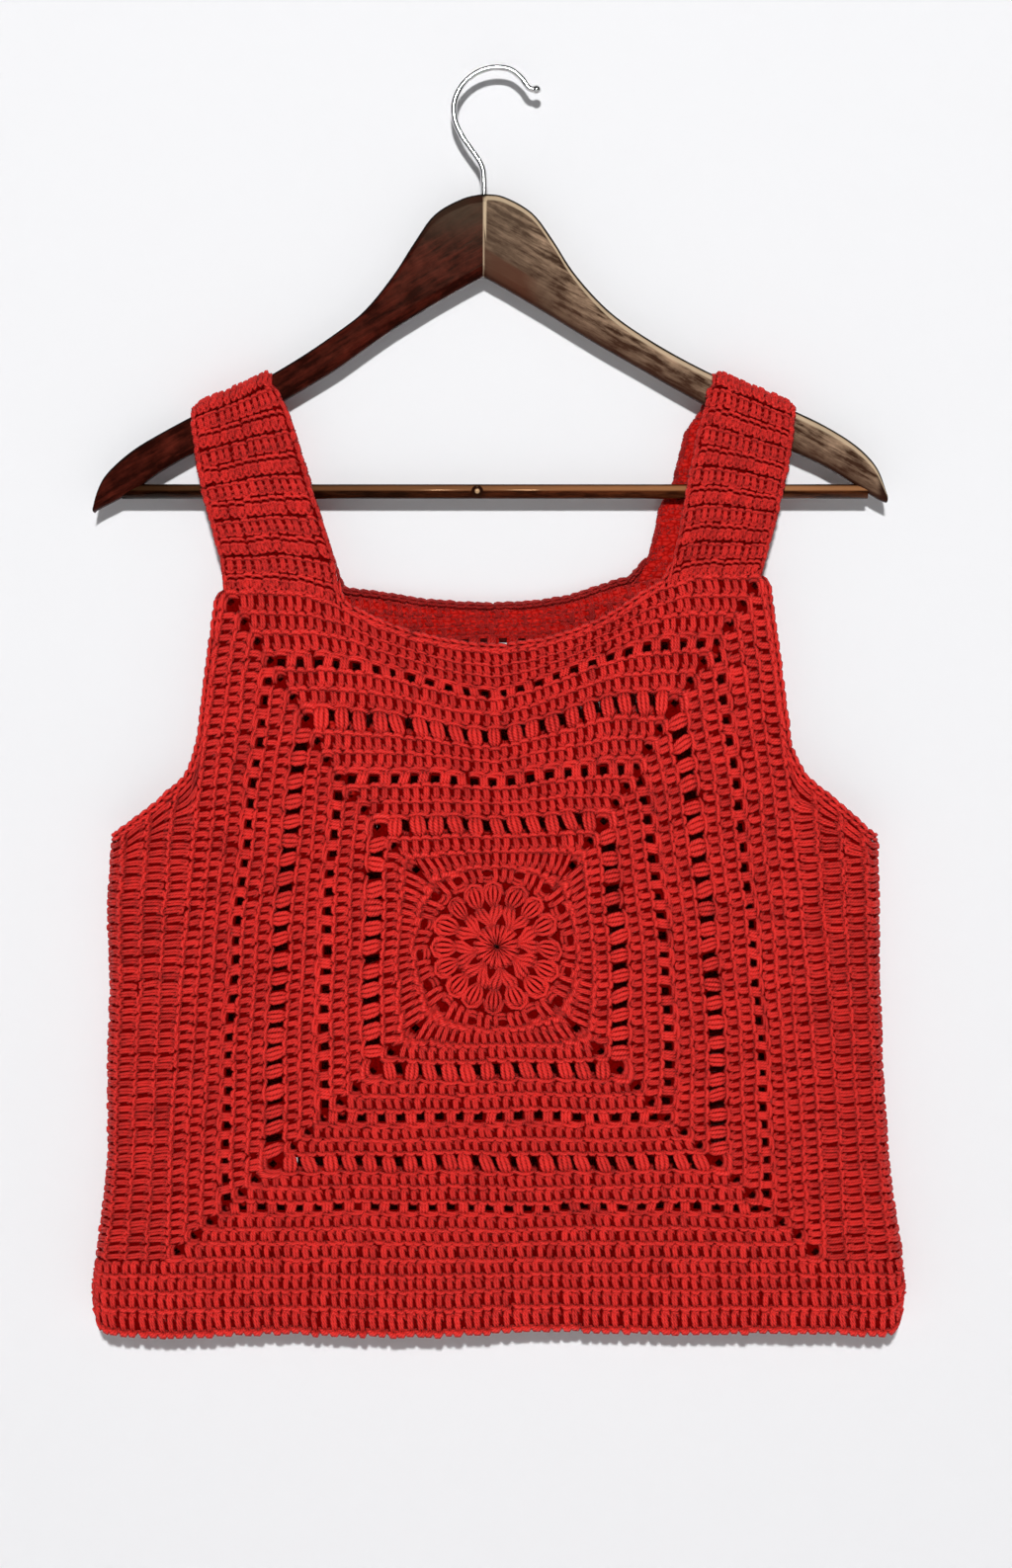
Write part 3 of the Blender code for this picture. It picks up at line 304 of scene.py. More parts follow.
# stained wood under lacquer: long grain, cloudy stain, and a gloss that is a little uneven
stained_wood, given, result = new_group(
    "stained_wood", {"Dark": "Color", "Light": "Color", "Slope": "Float", "Cloud": "Float"},
    {"Color": "Color", "Height": "Float", "Gloss": "Float"})
turn = node(stained_wood, "VectorRotate", {"Vector": on_piece(stained_wood), "Angle": given["Slope"]},
            rotation_type="Y_AXIS").outputs["Vector"]
along = node(stained_wood, "Mapping", {"Vector": turn, "Scale": (46.0, 280.0, 330.0)}, vector_type="POINT")
grain = speckle(stained_wood, along.outputs["Vector"], 1.0, 6.0, 0.65)
cloud = speckle(stained_wood, turn, 70.0, 6.0, 0.6)
blend = node(stained_wood, "Mix", {0: given["Cloud"], 2: grain, 3: cloud}, data_type="FLOAT").outputs[0]
sharp = mapped(stained_wood, blend, 0.43, 0.67)
plug(stained_wood, result, {"Color": mixed(stained_wood, sharp, given["Dark"], given["Light"]),
                            "Height": grain, "Gloss": mapped(stained_wood, cloud, 0.3, 0.7, 0.11, 0.19)})


def lacquered(name, dark, light, slope, cloud, shine=0.009, tint=(1.0, 0.76, 0.52)):
    """Lacquered wood from the shared nodes; returns it with its tree, shader, colour, and X and Z."""
    material, tree, shader = new_material(name, Specular_IOR_Level=shine, Specular_Tint=(*tint, 1.0))
    wood = node(tree, "Group", node_tree=stained_wood)
    plug(tree, wood, {"Dark": (*dark, 1.0), "Light": (*light, 1.0), "Slope": slope, "Cloud": cloud})
    plug(tree, shader, {"Roughness": wood.outputs["Gloss"]})
    bumped(tree, shader, wood.outputs["Height"], 0.12, 0.0002)
    place = node(tree, "SeparateXYZ", {"Vector": on_piece(tree)}).outputs
    return material, tree, shader, wood.outputs["Color"], place["X"], place["Z"]


def measured(tree, name):
    """A number kept for each point of the piece."""
    return node(tree, "Attribute", attribute_name=name).outputs["Fac"]


def arm_section(x, top, under):
    """A rounded rectangle across the arm, from its outer corner round."""
    rise = min(ARM_ROUND * 1.1, 0.42 * (top - under))
    ring, steps = [], ARM_SIDES // 4
    for quarter in range(4):
        centre_y = (1 if quarter in (0, 3) else -1) * (ARM_THICK / 2 - ARM_ROUND)
        centre_z = top - rise if quarter < 2 else under + rise
        for k in range(steps):
            angle = math.pi / 2 * (quarter + k / (steps - 1))
            y, z = ARM_ROUND * math.cos(angle), rise * math.sin(angle)
            ring.append(Vector((x, centre_y + y, centre_z + z)))
    return ring


def lofted_arm(name, table, side, material, replaced):
    """Extrude a section from the joint to the tip, set to each station of the arm."""
    top, under = (smooth_line([(row[0] * MM, row[n] * MM, 0.0) for row in table], ARM_STEPS) for n in (1, 2))
    bm, rings = stacked_rings(ARM_SIDES, len(top))
    for ring, a, b in zip(rings, top, under):
        ring.sort(key=lambda v: math.atan2(v.co.y, v.co.x) % (2 * math.pi))
        for vert, spot in zip(ring, arm_section(JOINT_X + side * (a.x + 0.03 * MM), a.y, b.y)):
            vert.co = spot
    close_ends(bm, rings)
    # crest: how far a point has turned from the front, toward 1 on top and -1 below; across: its height share
    bm.normal_update()
    crest, across = (bm.verts.layers.float.new(label) for label in ("crest", "across"))
    for vert in bm.verts:
        vert[crest] = math.copysign(math.sqrt(max(0.0, 1.0 - vert.normal.y ** 2)), vert.normal.z)
        run = abs(vert.co.x - JOINT_X)
        high, low = (np.interp(run, [p.x for p in line], [p.y for p in line]) for line in (top, under))
        vert[across] = (vert.co.z - low) / (high - low)
    arm = shown(name, bm, [material], replaced)
    # the sawn faces are flat; only the edges are rounded
    for face in arm.data.polygons:
        face.use_smooth = abs(face.normal.y) < 0.999


def painted_dark_top_edge(tree, shader, colour):
    """Paint the very top of an arm nearly black, as the dark reflection along its rounding."""
    top = between(tree, measured(tree, "crest"), 0.73, 2.0, 0.05)
    plug(tree, shader, {"Base Color": painted_where(tree, colour, top, (0.004, 0.002, 0.002))})


mahogany, tree, shader, colour, x, z = lacquered(
    "mahogany_lacquer", (0.018, 0.0032, 0.0020), (0.100, 0.0150, 0.0085), math.radians(31.0), 0.45)
# painted sheen: the arm is painted olive high up by the joint
painted_sheen = sums(tree, "MULTIPLY", between(tree, x, -0.052, 0.0, 0.022), between(tree, z, -0.092, 0.0, 0.014))
colour = painted_where(tree, colour, painted_sheen, (0.036, 0.019, 0.012))
glue = between(tree, x, JOINT_X - 0.40 * MM, JOINT_X + 1.0 * MM, 0.15 * MM)
# the very top edge is painted nearly black as a dark reflection
painted_dark_top_edge(tree, shader, painted_where(tree, colour, glue, GLUE))
lofted_arm("left_hanger_arm", LEFT_ARM, -1, mahogany, ["hanger_arm_left"])

# the right arm is painted lighter and more golden than the left: partly its grain, partly painted reflection
walnut_and_painted_reflection, tree, shader, colour, x, z = lacquered(
    "walnut_lacquer_and_painted_reflection", (0.040, 0.018, 0.010), (0.50, 0.33, 0.215), math.radians(-29.0), 0.30)
# its last stretch to the very tip is painted nearly black
tip = between(tree, x, 216.8 * MM, 240.0 * MM, 2.0 * MM)
colour = painted_where(tree, colour, tip, (0.010, 0.004, 0.004))
# painted shade: darker red-brown along the under edge, fading out upward
painted_shade_low = mapped(tree, measured(tree, "across"), 0.0, 0.75, 0.85, 0.0)
colour = painted_where(tree, colour, painted_shade_low, (0.055, 0.022, 0.013))
# a darker wedge of heartwood runs low from the joint
wedge = between(tree, sums(tree, "MULTIPLY_ADD", x, 0.62, z), -0.20, -0.1035, 1.2 * MM)
low = sums(tree, "MULTIPLY", wedge, between(tree, x, JOINT_X, 22.0 * MM, 9.0 * MM))
colour = painted_where(tree, colour, low, (0.085, 0.019, 0.009))
# painted shade: the arm is painted darker toward the joint
painted_shade_by_joint = sums(tree, "MULTIPLY", between(tree, x, -0.03, 0.026, 0.026), 0.5)
colour = painted_where(tree, colour, painted_shade_by_joint, (0.075, 0.046, 0.030))
glue = between(tree, x, JOINT_X - 1.0 * MM, JOINT_X + 0.40 * MM, 0.15 * MM)
colour = painted_where(tree, colour, glue, GLUE)
# painted highlight: the rounding on top is painted pale; painted shade: the under side is painted darker; the
# very top edge is painted nearly black as a dark reflection
crest = measured(tree, "crest")
painted_highlight_top = sums(tree, "MULTIPLY", between(tree, crest, 0.24, 0.66, 0.10), 0.75)
colour = painted_where(tree, colour, painted_highlight_top, (0.62, 0.47, 0.31))
painted_shade_under = sums(tree, "MULTIPLY", between(tree, crest, -2.0, -0.75, 0.15), 0.7)
painted_dark_top_edge(tree, shader, painted_where(tree, colour, painted_shade_under, (0.045, 0.014, 0.008)))
lofted_arm("right_hanger_arm", RIGHT_ARM, 1, walnut_and_painted_reflection, ["hanger_arm_right"])

# ---- trouser bar ---------------------------------------------------------------------------------
# A turned hardwood rod glued into holes near the arms' tips, stained and lacquered like them.
# A small round pit is left in it near the middle by the lathe's pin.
BAR_RADIUS = 4.15 * MM
BAR_Z = -236.7 * MM
BAR_ENDS = (-208.0 * MM, 211.0 * MM)
PIT_X, PIT_RADIUS, PIT_DEEP = -8.3 * MM, 3.4 * MM, 1.3 * MM
PIT_CUTS, PIT_CUT_APART = 13, 0.65 * MM

bar_wood, tree, shader, colour, x, z = lacquered("bar_lacquer", (0.014, 0.004, 0.002), (0.070, 0.021, 0.008),
                                                 0.0, 0.2, 0.08, (1.0, 0.60, 0.34))
# the rod is painted darker toward its left end and lighter toward its right
tone = mapped(tree, x, -0.21, 0.21)
lengthwise_ramp = ramp(tree, tone, (0.0, (0.35, 0.30, 0.28)), (0.38, (0.75, 0.62, 0.55)), (0.55, (1.25, 0.85, 0.75)),
             (0.80, (2.1, 1.75, 1.35)), (1.0, (1.7, 1.6, 1.3)))
lengthwise_toned = mixed(tree, 1.0, colour, lengthwise_ramp, blend_type="MULTIPLY")
# painted highlight: a coppery band along the upper front, brightest toward the right
upper = between(tree, sums(tree, "SUBTRACT", z, BAR_Z), 0.2 * MM, 2.9 * MM, 0.7 * MM)
rightward = ramp(tree, tone, (0.0, (0.05,) * 3), (0.45, (0.35,) * 3), (0.9, (0.85,) * 3))
shine = sums(tree, "MULTIPLY", upper, rightward)
with_painted_highlight = painted_where(tree, lengthwise_toned, shine, (0.50, 0.22, 0.09))
# a dark ring is painted round the pit's sides, and its floor is painted lighter
spot = node(tree, "CombineXYZ", {"X": x, "Z": z}).outputs["Vector"]
away = node(tree, "VectorMath", {0: spot, 1: (PIT_X, 0.0, BAR_Z)}, operation="DISTANCE").outputs["Value"]
rim = painted_where(tree, with_painted_highlight, between(tree, away, 1.5 * MM, 3.3 * MM, 0.3 * MM), (0.02, 0.006, 0.003))
floor = painted_where(tree, rim, between(tree, away, -MM, 1.3 * MM, 0.3 * MM), (0.42, 0.27, 0.15))
plug(tree, shader, {"Base Color": floor})

bm = bmesh.new()
lay_down = Matrix.Translation((sum(BAR_ENDS) / 2, 0.0, BAR_Z)) @ Matrix.Rotation(math.pi / 2, 4, "Y")
bmesh.ops.create_cone(bm, cap_ends=True, segments=32, radius1=BAR_RADIUS, radius2=BAR_RADIUS,
                      depth=BAR_ENDS[1] - BAR_ENDS[0], matrix=lay_down)
# close stations round the pit, whose points are pressed into the rod
for k in range(PIT_CUTS):
    bmesh.ops.bisect_plane(bm, geom=bm.verts[:] + bm.edges[:] + bm.faces[:], plane_no=(1.0, 0.0, 0.0),
                           plane_co=(PIT_X + (k - PIT_CUTS // 2) * PIT_CUT_APART, 0.0, 0.0))
for vert in bm.verts:
    away = math.hypot(vert.co.x - PIT_X, vert.co.z - BAR_Z)
    if vert.co.y < 0.0 and away < PIT_RADIUS:
        vert.co.y += PIT_DEEP * (1.0 - (away / PIT_RADIUS) ** 4)
shown("trouser_bar", bm, [bar_wood], ["hanger_bar"])

# ---- wire hook -----------------------------------------------------------------------------------
# Steel wire bent to a question mark, with a ball forged on its end, plated bright.
# Its stem goes down into the glued joint of the two arms.
WIRE = 3.5 * MM
BALL = 5.0 * MM
HOOK_LINE = ((-4.7, -86.0), (-4.7, -60.5), (-6.6, -52.0), (-11.9, -44.2), (-17.0, -36.6), (-20.8, -28.0),
             (-21.3, -18.0), (-17.2, -8.6), (-9.4, -1.5), (0.3, 1.75), (9.6, 0.9), (16.3, -3.9),
             (20.6, -9.6), (25.0, -10.6))

plating, tree, shader = new_material("bright_plating", Metallic=1.0)
dull = speckle(tree, on_piece(tree), 420.0, 5.0, 0.7)
plug(tree, shader, {"Base Color": ramp(tree, dull, (0.3, (0.40, 0.40, 0.40)), (0.62, (0.68, 0.68, 0.68))),
                    "Roughness": mapped(tree, dull, 0.3, 0.7, 0.08, 0.24)})

line = smooth_line([(x, 0.0, z) for x, z in HOOK_LINE], 6)
bm, rings = stacked_rings(20, len(line), WIRE / 2)
sideways = Vector((0.0, 1.0, 0.0))
for k, (spot, ring) in enumerate(zip(line, rings)):
    before, after = neighbours(line, k)
    along = (after - before).normalized()
    stand = Matrix((sideways.cross(along), sideways, along)).transposed()
    bmesh.ops.transform(bm, matrix=Matrix.Translation(spot * MM) @ stand.to_4x4(), verts=ring)
close_ends(bm, rings)
bmesh.ops.create_uvsphere(bm, u_segments=24, v_segments=14, radius=BALL / 2,
                          matrix=Matrix.Translation(line[-1] * MM))
shown("wire_hook", bm, [plating], ["hanger_hook"])

# ---- front panel: ground -------------------------------------------------------------------------
# The front of the top is one big square, crocheted in cotton from a round centre outward.
# The ground stands for the thin body of the cloth behind the stitches, with every worked gap open, and is
# painted dark red as the shade down between them; it hangs in the same soft folds as the plain wall that it
# stands for.
FRONT, BACK = -1, 1
CENTRE_X, CENTRE_Z = 2.2 * MM, -492.6 * MM
EDGE = 174.6 * MM
HEM_TOP, HEM_BOTTOM = CENTRE_Z - EDGE, -707.0 * MM
ROUNDS = (  # stitch, and outer radius in millimetres to the middle of a side
    ("spoke", 12.0), ("pair", 24.0), ("cluster", 36.7), ("open", 46.2), ("post", 55.0), ("post", 63.4),
    ("puff", 75.0), ("post", 82.6), ("post", 91.2), ("eyelet", 100.0), ("post", 107.4), ("post", 115.1),
    ("puff", 126.2), ("post", 134.0), ("post", 142.3), ("eyelet", 149.6), ("post", 157.4), ("post", 165.4),
    ("post", 174.6))
# how far a round's corners reach, as shares of its radius, for rounds of these radii
CORNER_AT = (0.0, 45.0, 69.0, 96.0, 121.0, 146.0, 161.0, 174.6)
CORNER_SHARES = (
    (1.0, 1.0, 1.0, 1.01, 1.03, 1.04, 1.05, 1.05),           # lower corners, out
    (1.0, 0.98, 0.96, 0.925, 0.885, 0.866, 0.875, 0.872),    # upper left one, out
    (1.0, 0.96, 0.97, 1.0, 1.06, 1.10, 1.13, 1.14),          # upper left one, up
    (1.0, 0.92, 0.87, 0.83, 0.83, 0.847, 0.86, 0.85),        # upper right one, out
    (1.0, 0.98, 1.02, 1.06, 1.14, 1.17, 1.195, 1.19))        # upper right one, up
# how high the middle of the top side lies, as a share of the radius, for rounds of these radii
SAG_AT = (0.0, 63.0, 115.0, 146.0, 174.6)
SAG = {FRONT: (1.0, 0.99, 0.965, 0.972, 0.945), BACK: (1.0, 1.03, 1.12, 1.19, 1.085)}
# how far the top side has risen from its middle to its corner, at shares of the way
CLIMB_AT = (0.0, 0.15, 0.3, 0.45, 0.6, 0.75, 1.0)
CLIMB_ROW = (0.0, 0.17, 0.42, 0.65, 0.86, 0.98, 1.0)
CLIMB_NECK = (0.0, 0.06, 0.20, 0.43, 0.80, 0.98, 1.0)
CLIMB_BACK = (0.0, 0.06, 0.28, 0.70, 0.98, 1.0, 1.0)
NECK = {FRONT: (-0.575, 0.64), BACK: (-0.575, 0.52)}    # ends of the neck, as shares of the top side
# half widths of the hanging top to the left and right fold, and its half depth, by height
FOLD_AT = (-707.0, -689.4, -662.8, -636.1, -609.4, -562.7, -516.0, -469.3, -435.0, -340.0)
FOLD = {-1: (223.0, 224.0, 221.3, 217.6, 214.8, 215.2, 213.7, 215.5, 213.5, 213.0),
        1: (230.0, 231.3, 229.6, 224.6, 221.8, 218.5, 217.0, 216.6, 216.0, 216.0)}
DEPTH_AT, DEPTH = (-707.0, -640.0, -520.0, -400.0, -300.0, -150.0), (11.8, 11.2, 10.4, 9.8, 9.4, 9.4)
FLUTE_DEEP, FLUTE_WIDE = 1.3 * MM, 31.0 * MM
SWAY_DEEP, SWAY_WIDE, SWAY_HIGH = 1.0 * MM, 58.0 * MM, 75.0 * MM
CREASE_X, CREASE_DEEP, CREASE_WIDE = 186.0 * MM, 3.2 * MM, 3.2 * MM
WAVER, SMALL_WAVER = 0.45 * MM, 0.35 * MM
CORNER_GAP = 0.4 * MM                            # a round's open corners start this far past its inner edge
PUFF_PITCH, EYELET_PITCH = 10.7 * MM, 10.6 * MM
GAP_SHAPES = {  # corners of a worked gap as shares of its cell
    "puff": ((0.90, 0.13), (0.80, 0.5), (0.75, 0.87), (1.10, 0.87), (1.19, 0.5), (1.25, 0.13)),
    "eyelet": ((0.15, 0.08), (0.15, 0.58), (0.57, 0.58), (0.57, 0.08))}
CORNER_HOLE, CENTRE_HOLE = 2.5 * MM, 2.0 * MM    # half widths of the open spaces
GROUND_IN, GROUND_THICK = 0.60 * MM, 0.3 * MM


def read(at, stations, values):
    """A table's value at places in metres; its stations are in millimetres."""
    return np.interp(at, np.array(stations) * MM, values)


def ease(value, low, high):
    """A soft step from 0 at low to 1 at high."""
    share = np.clip((value - low) / (high - low), 0.0, 1.0)
    return share * share * (3.0 - 2.0 * share)


def bow(start, middle, end, t):
    """A bent line's value while t runs from -1 to 1."""
    return middle + (end - start) * (t / 2) + ((start + end) / 2 - middle) * t * t


def lay(face, side, radius, t):
    """X and Z in the square's plane; side counts clockwise from the top, t runs -1 to 1 along it."""
    side, radius, t = np.broadcast_arrays(np.asarray(side), np.asarray(radius, float), np.asarray(t, float))
    low_out, high_out, high_up, steep_out, steep_up = (read(radius, CORNER_AT, shares) * radius
                                                       for shares in CORNER_SHARES)
    sag = read(radius, SAG_AT, SAG[face]) * radius
    climb = np.interp(abs(t), CLIMB_AT, CLIMB_BACK if face == BACK else CLIMB_ROW)
    if face == FRONT:
        climb = climb + (np.interp(abs(t), CLIMB_AT, CLIMB_NECK) - climb) * ease(radius, 140.0 * MM, EDGE)
    x = np.choose(side, (bow(-high_out, 0.0, steep_out, t), bow(steep_out, 0.99 * radius, low_out, t),
                         bow(low_out, 0.0, -low_out, t), bow(-low_out, -radius, -high_out, t)))
    z = np.choose(side, (sag + (np.where(t < 0, high_up, steep_up) - sag) * climb,
                         bow(steep_up, 0.0, -radius, t), -radius, bow(-radius, 0.0, high_up, t)))
    # the rounds turn from circles into squares
    square = ease(radius, 36.7 * MM, 60.0 * MM)
    angle = math.pi / 2 * (1.0 - side - t / 2)
    x = radius * np.cos(angle) * (1 - square) + x * square
    z = radius * np.sin(angle) * (1 - square) + z * square
    return CENTRE_X + x, CENTRE_Z + z


def half_depth(z):
    """Depth of the hanging top from its middle to either face."""
    return read(z, DEPTH_AT, DEPTH) * MM


def fold_x(side, z):
    """Half width of the hanging top on one side."""
    return read(z, FOLD_AT, FOLD[side]) * MM


def fold_near(x, z):
    """Half width of the hanging top on the side that x lies on."""
    return np.where(x < 0, fold_x(-1, z), fold_x(1, z))


def drape(face, x, z):
    """Soft flutes and hollows of the hanging cloth."""
    low = 1.0 - ease(z, -660.0 * MM, -480.0 * MM)
    flutes = FLUTE_DEEP * low * np.sin(x / FLUTE_WIDE + 0.8 * face)
    sway = SWAY_DEEP * np.sin(x / SWAY_WIDE - 0.4) * np.sin((z + 0.3) / SWAY_HIGH + face)
    edge = fold_near(x, z)
    inside = 1.0 - ease(abs(x), edge - 45.0 * MM, edge - 14.0 * MM)
    return (flutes + sway) * inside * (1.0 - ease(z, -400.0 * MM, -310.0 * MM))


def crease(face, x, z):
    """Depth of the pressed fold under the right arm."""
    fade = ease(z, -560.0 * MM, -500.0 * MM) * (1.0 - ease(z, -428.0 * MM, -416.0 * MM))
    return (face == FRONT) * CREASE_DEEP * fade * np.exp(-((x - CREASE_X) / CREASE_WIDE) ** 2)


def uneven(face, x, z):
    """Hand work is never quite even: the rows waver a little up and down and from side to side."""
    rise = np.sin(x / (9.7 * MM) + 2.2 * np.sin(z / (31.0 * MM)) + face) * SMALL_WAVER
    rise = rise + np.sin(x / (23.0 * MM) - z / (17.0 * MM) + 2.0 * face) * WAVER
    shift = np.sin(z / (11.3 * MM) + 1.9 * np.sin(x / (27.0 * MM)) - face) * WAVER
    rim = np.maximum(abs(x - CENTRE_X), abs(z - CENTRE_Z))
    fade = 1.0 - ease(rim, EDGE - 22.0 * MM, EDGE - 8.0 * MM)
    return x + shift * fade, z + rise * fade


def hung(face, x, z, out):
    """X, Y and Z of a point of the cloth, out from its face."""
    return x, face * (half_depth(z) + out - crease(face, x, z)) + drape(face, x, z), z


def panel_place(face):
    """Places points of the square's cells.

    A cell is its side, its inner and outer radius, and where it starts and ends along both.
    """
    def place(cell, u, v, out):
        side, inner, outer, a0, b0, a1, b1 = cell.T
        radius = inner + (outer - inner) * v
        along = (a0 + (b0 - a0) * u) * (1 - v) + (a1 + (b1 - a1) * u) * v
        x, z = lay(face, side.astype(int), radius, along / np.maximum(radius, 0.1 * MM))
        return hung(face, *uneven(face, x, z), out)
    return place


def round_spans():
    """The stitch, inner and outer radius of each round."""
    inner = 0.0
    for kind, outer in ROUNDS:
        yield kind, inner * MM, outer * MM
        inner = outer


def side_length(face, side, radius):
    """Length of one side of a round."""
    x, z = lay(face, side, radius, np.linspace(-1, 1, 25))
    return float(np.hypot(np.diff(x), np.diff(z)).sum())


def spread(face, side, inner, outer, pitch, corner=None, phase=0.0):
    """Cells of one side of a round, between the open spaces at its two corners.

    corner is the width of such a space; phase moves the cells along by a share of one.
    """
    near = inner + CORNER_GAP
    far = near if corner is None else outer - corner
    share = (near + far) / (inner + outer)
    count = max(2, round(side_length(face, side, (inner + outer) / 2) * share / pitch))
    steps = np.linspace(-1, 1, count + 1) + 2 * phase / count
    return np.array([(side, inner, outer, start * near, end * near, start * far, end * far)
                     for start, end in zip(steps, steps[1:])][:count - (phase > 0.0)])


def gap_cells(face, kind, side, inner, outer):
    """Cells of the rounds with gaps; those of the back lie half a stitch further along.

    A puff's gap lies at the end of its cell, so the back's first cell has the gap alone.
    """
    if kind == "eyelet":
        return spread(face, side, inner, outer, EYELET_PITCH, None, 0.5 if face == BACK else 0.0)
    middle, reach = (inner + outer) / 2, inner + 1.5 * MM
    count = int(side_length(face, side, middle) * reach / middle / PUFF_PITCH)
    stops = np.linspace(-reach, reach, count + 1) - (reach / count if face == BACK else 0.0)
    return np.array([(side, inner, outer, *pair, *pair) for pair in zip(stops, stops[1:])])


def gapped(outline, holes, inside, hang):
    """A bmesh of flat cloth with open gaps, laid on the hanging form."""
    points, lines, owner = [], [], {}
    for number, loop in enumerate([outline] + holes):
        numbers = list(range(len(points), len(points) + len(loop)))
        points.extend(loop)
        lines.extend(zip(numbers, numbers[1:] + numbers[:1]))
        owner.update({n: number for n in numbers if number})
    points.extend(inside)
    cut = delaunay_2d_cdt([Vector(p) for p in points], lines, [], 1, 1e-7)
    bm = bmesh.new()
    x, z = np.array([tuple(p) for p in cut[0]]).T
    verts = [bm.verts.new(p) for p in np.stack(hang(x, z), 1)]
    origin = [old[0] if old else -1 for old in cut[3]]
    for face in cut[2]:
        # a face whose corners all lie on one hole fills that hole
        if len({owner.get(origin[n], -1 - n) for n in face}) > 1:
            bm.faces.new([verts[n] for n in face])
    bmesh.ops.delete(bm, geom=[v for v in bm.verts if not v.link_faces], context="VERTS")
    return bm


def flat_points(face, side, radius, stations):
    """Points of one side of a round."""
    return [tuple(float(value) for value in lay(face, side, radius, t)) for t in stations]


def whole_round(face, radius, stations):
    """Points of all four sides of a round."""
    return sum((flat_points(face, side, radius, stations) for side in range(4)), [])


def panel_ground(face):
    """The square's ground, with its puff gaps, eyelets and corner spaces open."""
    holes, inside = [], []
    for kind, inner, outer in round_spans():
        for side in range(4):
            cells = gap_cells(face, kind, side, inner, outer) if kind in GAP_SHAPES else []
            if kind == "eyelet" and face == BACK and side > 0:
                cells = []
            for cell in cells[:-1] if kind == "puff" and face == FRONT else cells:
                u, v = np.array(GAP_SHAPES[kind]).T
                x, _, z = panel_place(face)(np.repeat(cell[None], len(u), 0), u, v, 0.0)
                holes.append(list(zip(x, z)))
            if kind == "puff" or (kind in ("post", "eyelet") and face == FRONT and outer > 50.0 * MM):
                x, z = uneven(face, *lay(face, side, (inner + outer) / 2, -1.0))
                holes.append([(x + CORNER_HOLE * over, z + CORNER_HOLE * up)
                              for over, up in ((-1, 0), (0, 1), (1, 0), (0, -1))])
            if kind not in GAP_SHAPES and outer <= EDGE - MM:
                stations = np.linspace(-1, 1, 1 + max(3, int(outer / (6.5 * MM))))[:-1]
                inside += flat_points(face, side, outer, stations)
    holes.append(whole_round(face, CENTRE_HOLE, (-1.0, 0.0)))
    outline = whole_round(face, EDGE - 0.2 * MM, np.linspace(-1, 1, 29)[:-1])
    return gapped(outline, holes, inside, lambda x, z: hung(face, x, z, -GROUND_IN))


# painted shade: the ground between the stitches is painted dark red, with fine flecks of fibre
painted_shade_ground, tree, shader = new_material("red_ground_painted_shade", Roughness=1.0, Specular_IOR_Level=0.0)
fleck = speckle(tree, on_piece(tree), 700.0, 4.0, 0.7)
plug(tree, shader, {"Base Color": ramp(tree, fleck, (0.35, (0.085, 0.0005, 0.0004)),
                                       (0.7, (0.20, 0.001, 0.001)))})
bumped(tree, shader, fleck, 0.6, 0.0003)

# the wrong side of the work: the same stitches seen flat, small and level, with painted shade along the lines
# between the knots
wrong_side, tree, shader = new_material("red_wrong_side", Roughness=1.0, Specular_IOR_Level=0.0)
level = node(tree, "Mapping", {"Vector": on_piece(tree), "Scale": (260.0, 60.0, 420.0)}).outputs["Vector"]
knots = node(tree, "TexVoronoi", {"Vector": level, "Scale": 1.0, "Randomness": 0.75},
             feature="DISTANCE_TO_EDGE").outputs["Distance"]
plug(tree, shader, {"Base Color": ramp(tree, knots, (0.0, (0.30, 0.003, 0.002)), (0.16, (0.50, 0.012, 0.009)),
                                       (0.5, (0.68, 0.026, 0.019)))})
bumped(tree, shader, knots, 0.8, 0.0006)


def thickened(name, bm, replaced):
    """Give a ground its thickness and finish it."""
    bmesh.ops.recalc_face_normals(bm, faces=bm.faces)
    bmesh.ops.solidify(bm, geom=bm.faces[:], thickness=GROUND_THICK)
    bmesh.ops.recalc_face_normals(bm, faces=bm.faces)
    return shown(name, bm, (painted_shade_ground, wrong_side), replaced)


front_ground = thickened("front_square_ground", panel_ground(FRONT), ["front_panel"])

# ---- front panel: stitches -----------------------------------------------------------------------
# Double crochet in rounds, with rounds of puffs and of eyelets between; every stitch is made of a
# few strands of plied cotton, drawn once for each kind of stitch and worked round by round.
CENTRE_TO, BORDER_TO = 116.0 * MM, 180.0 * MM    # radii where the two pieces of a square end
POST_PITCH, OPEN_PITCH, CHAIN_EVERY = 5.4 * MM, 4.3 * MM, 4
OPEN_CORNERS = {36.7: 3.0 * MM, 46.2: 5.6 * MM}  # a round's inner radius, and the width of its corner space
HUB, SPOKES, PETALS = 1.8 * MM, 13, 16

# plied cotton: the plies wind round a strand, with fine fuzz, and the red varies a little
plied, given, result = new_group("plied_cotton", {"Base": "Color", "Deep": "Color"},
                                 {"Color": "Color", "Height": "Float"})
winding = node(plied, "UVMap", uv_map="UVMap").outputs["UV"]
winding = node(plied, "SeparateXYZ", {"Vector": winding}).outputs
# three plies: a wave that winds once round the strand in about two thicknesses
twist = sums(plied, "MULTIPLY_ADD", winding["X"], 0.45, winding["Y"])
ply = sums(plied, "ABSOLUTE", sums(plied, "SINE", sums(plied, "MULTIPLY", twist, 3.0 * math.pi)))
fuzz = speckle(plied, on_piece(plied), 1100.0, 4.0, 0.6)
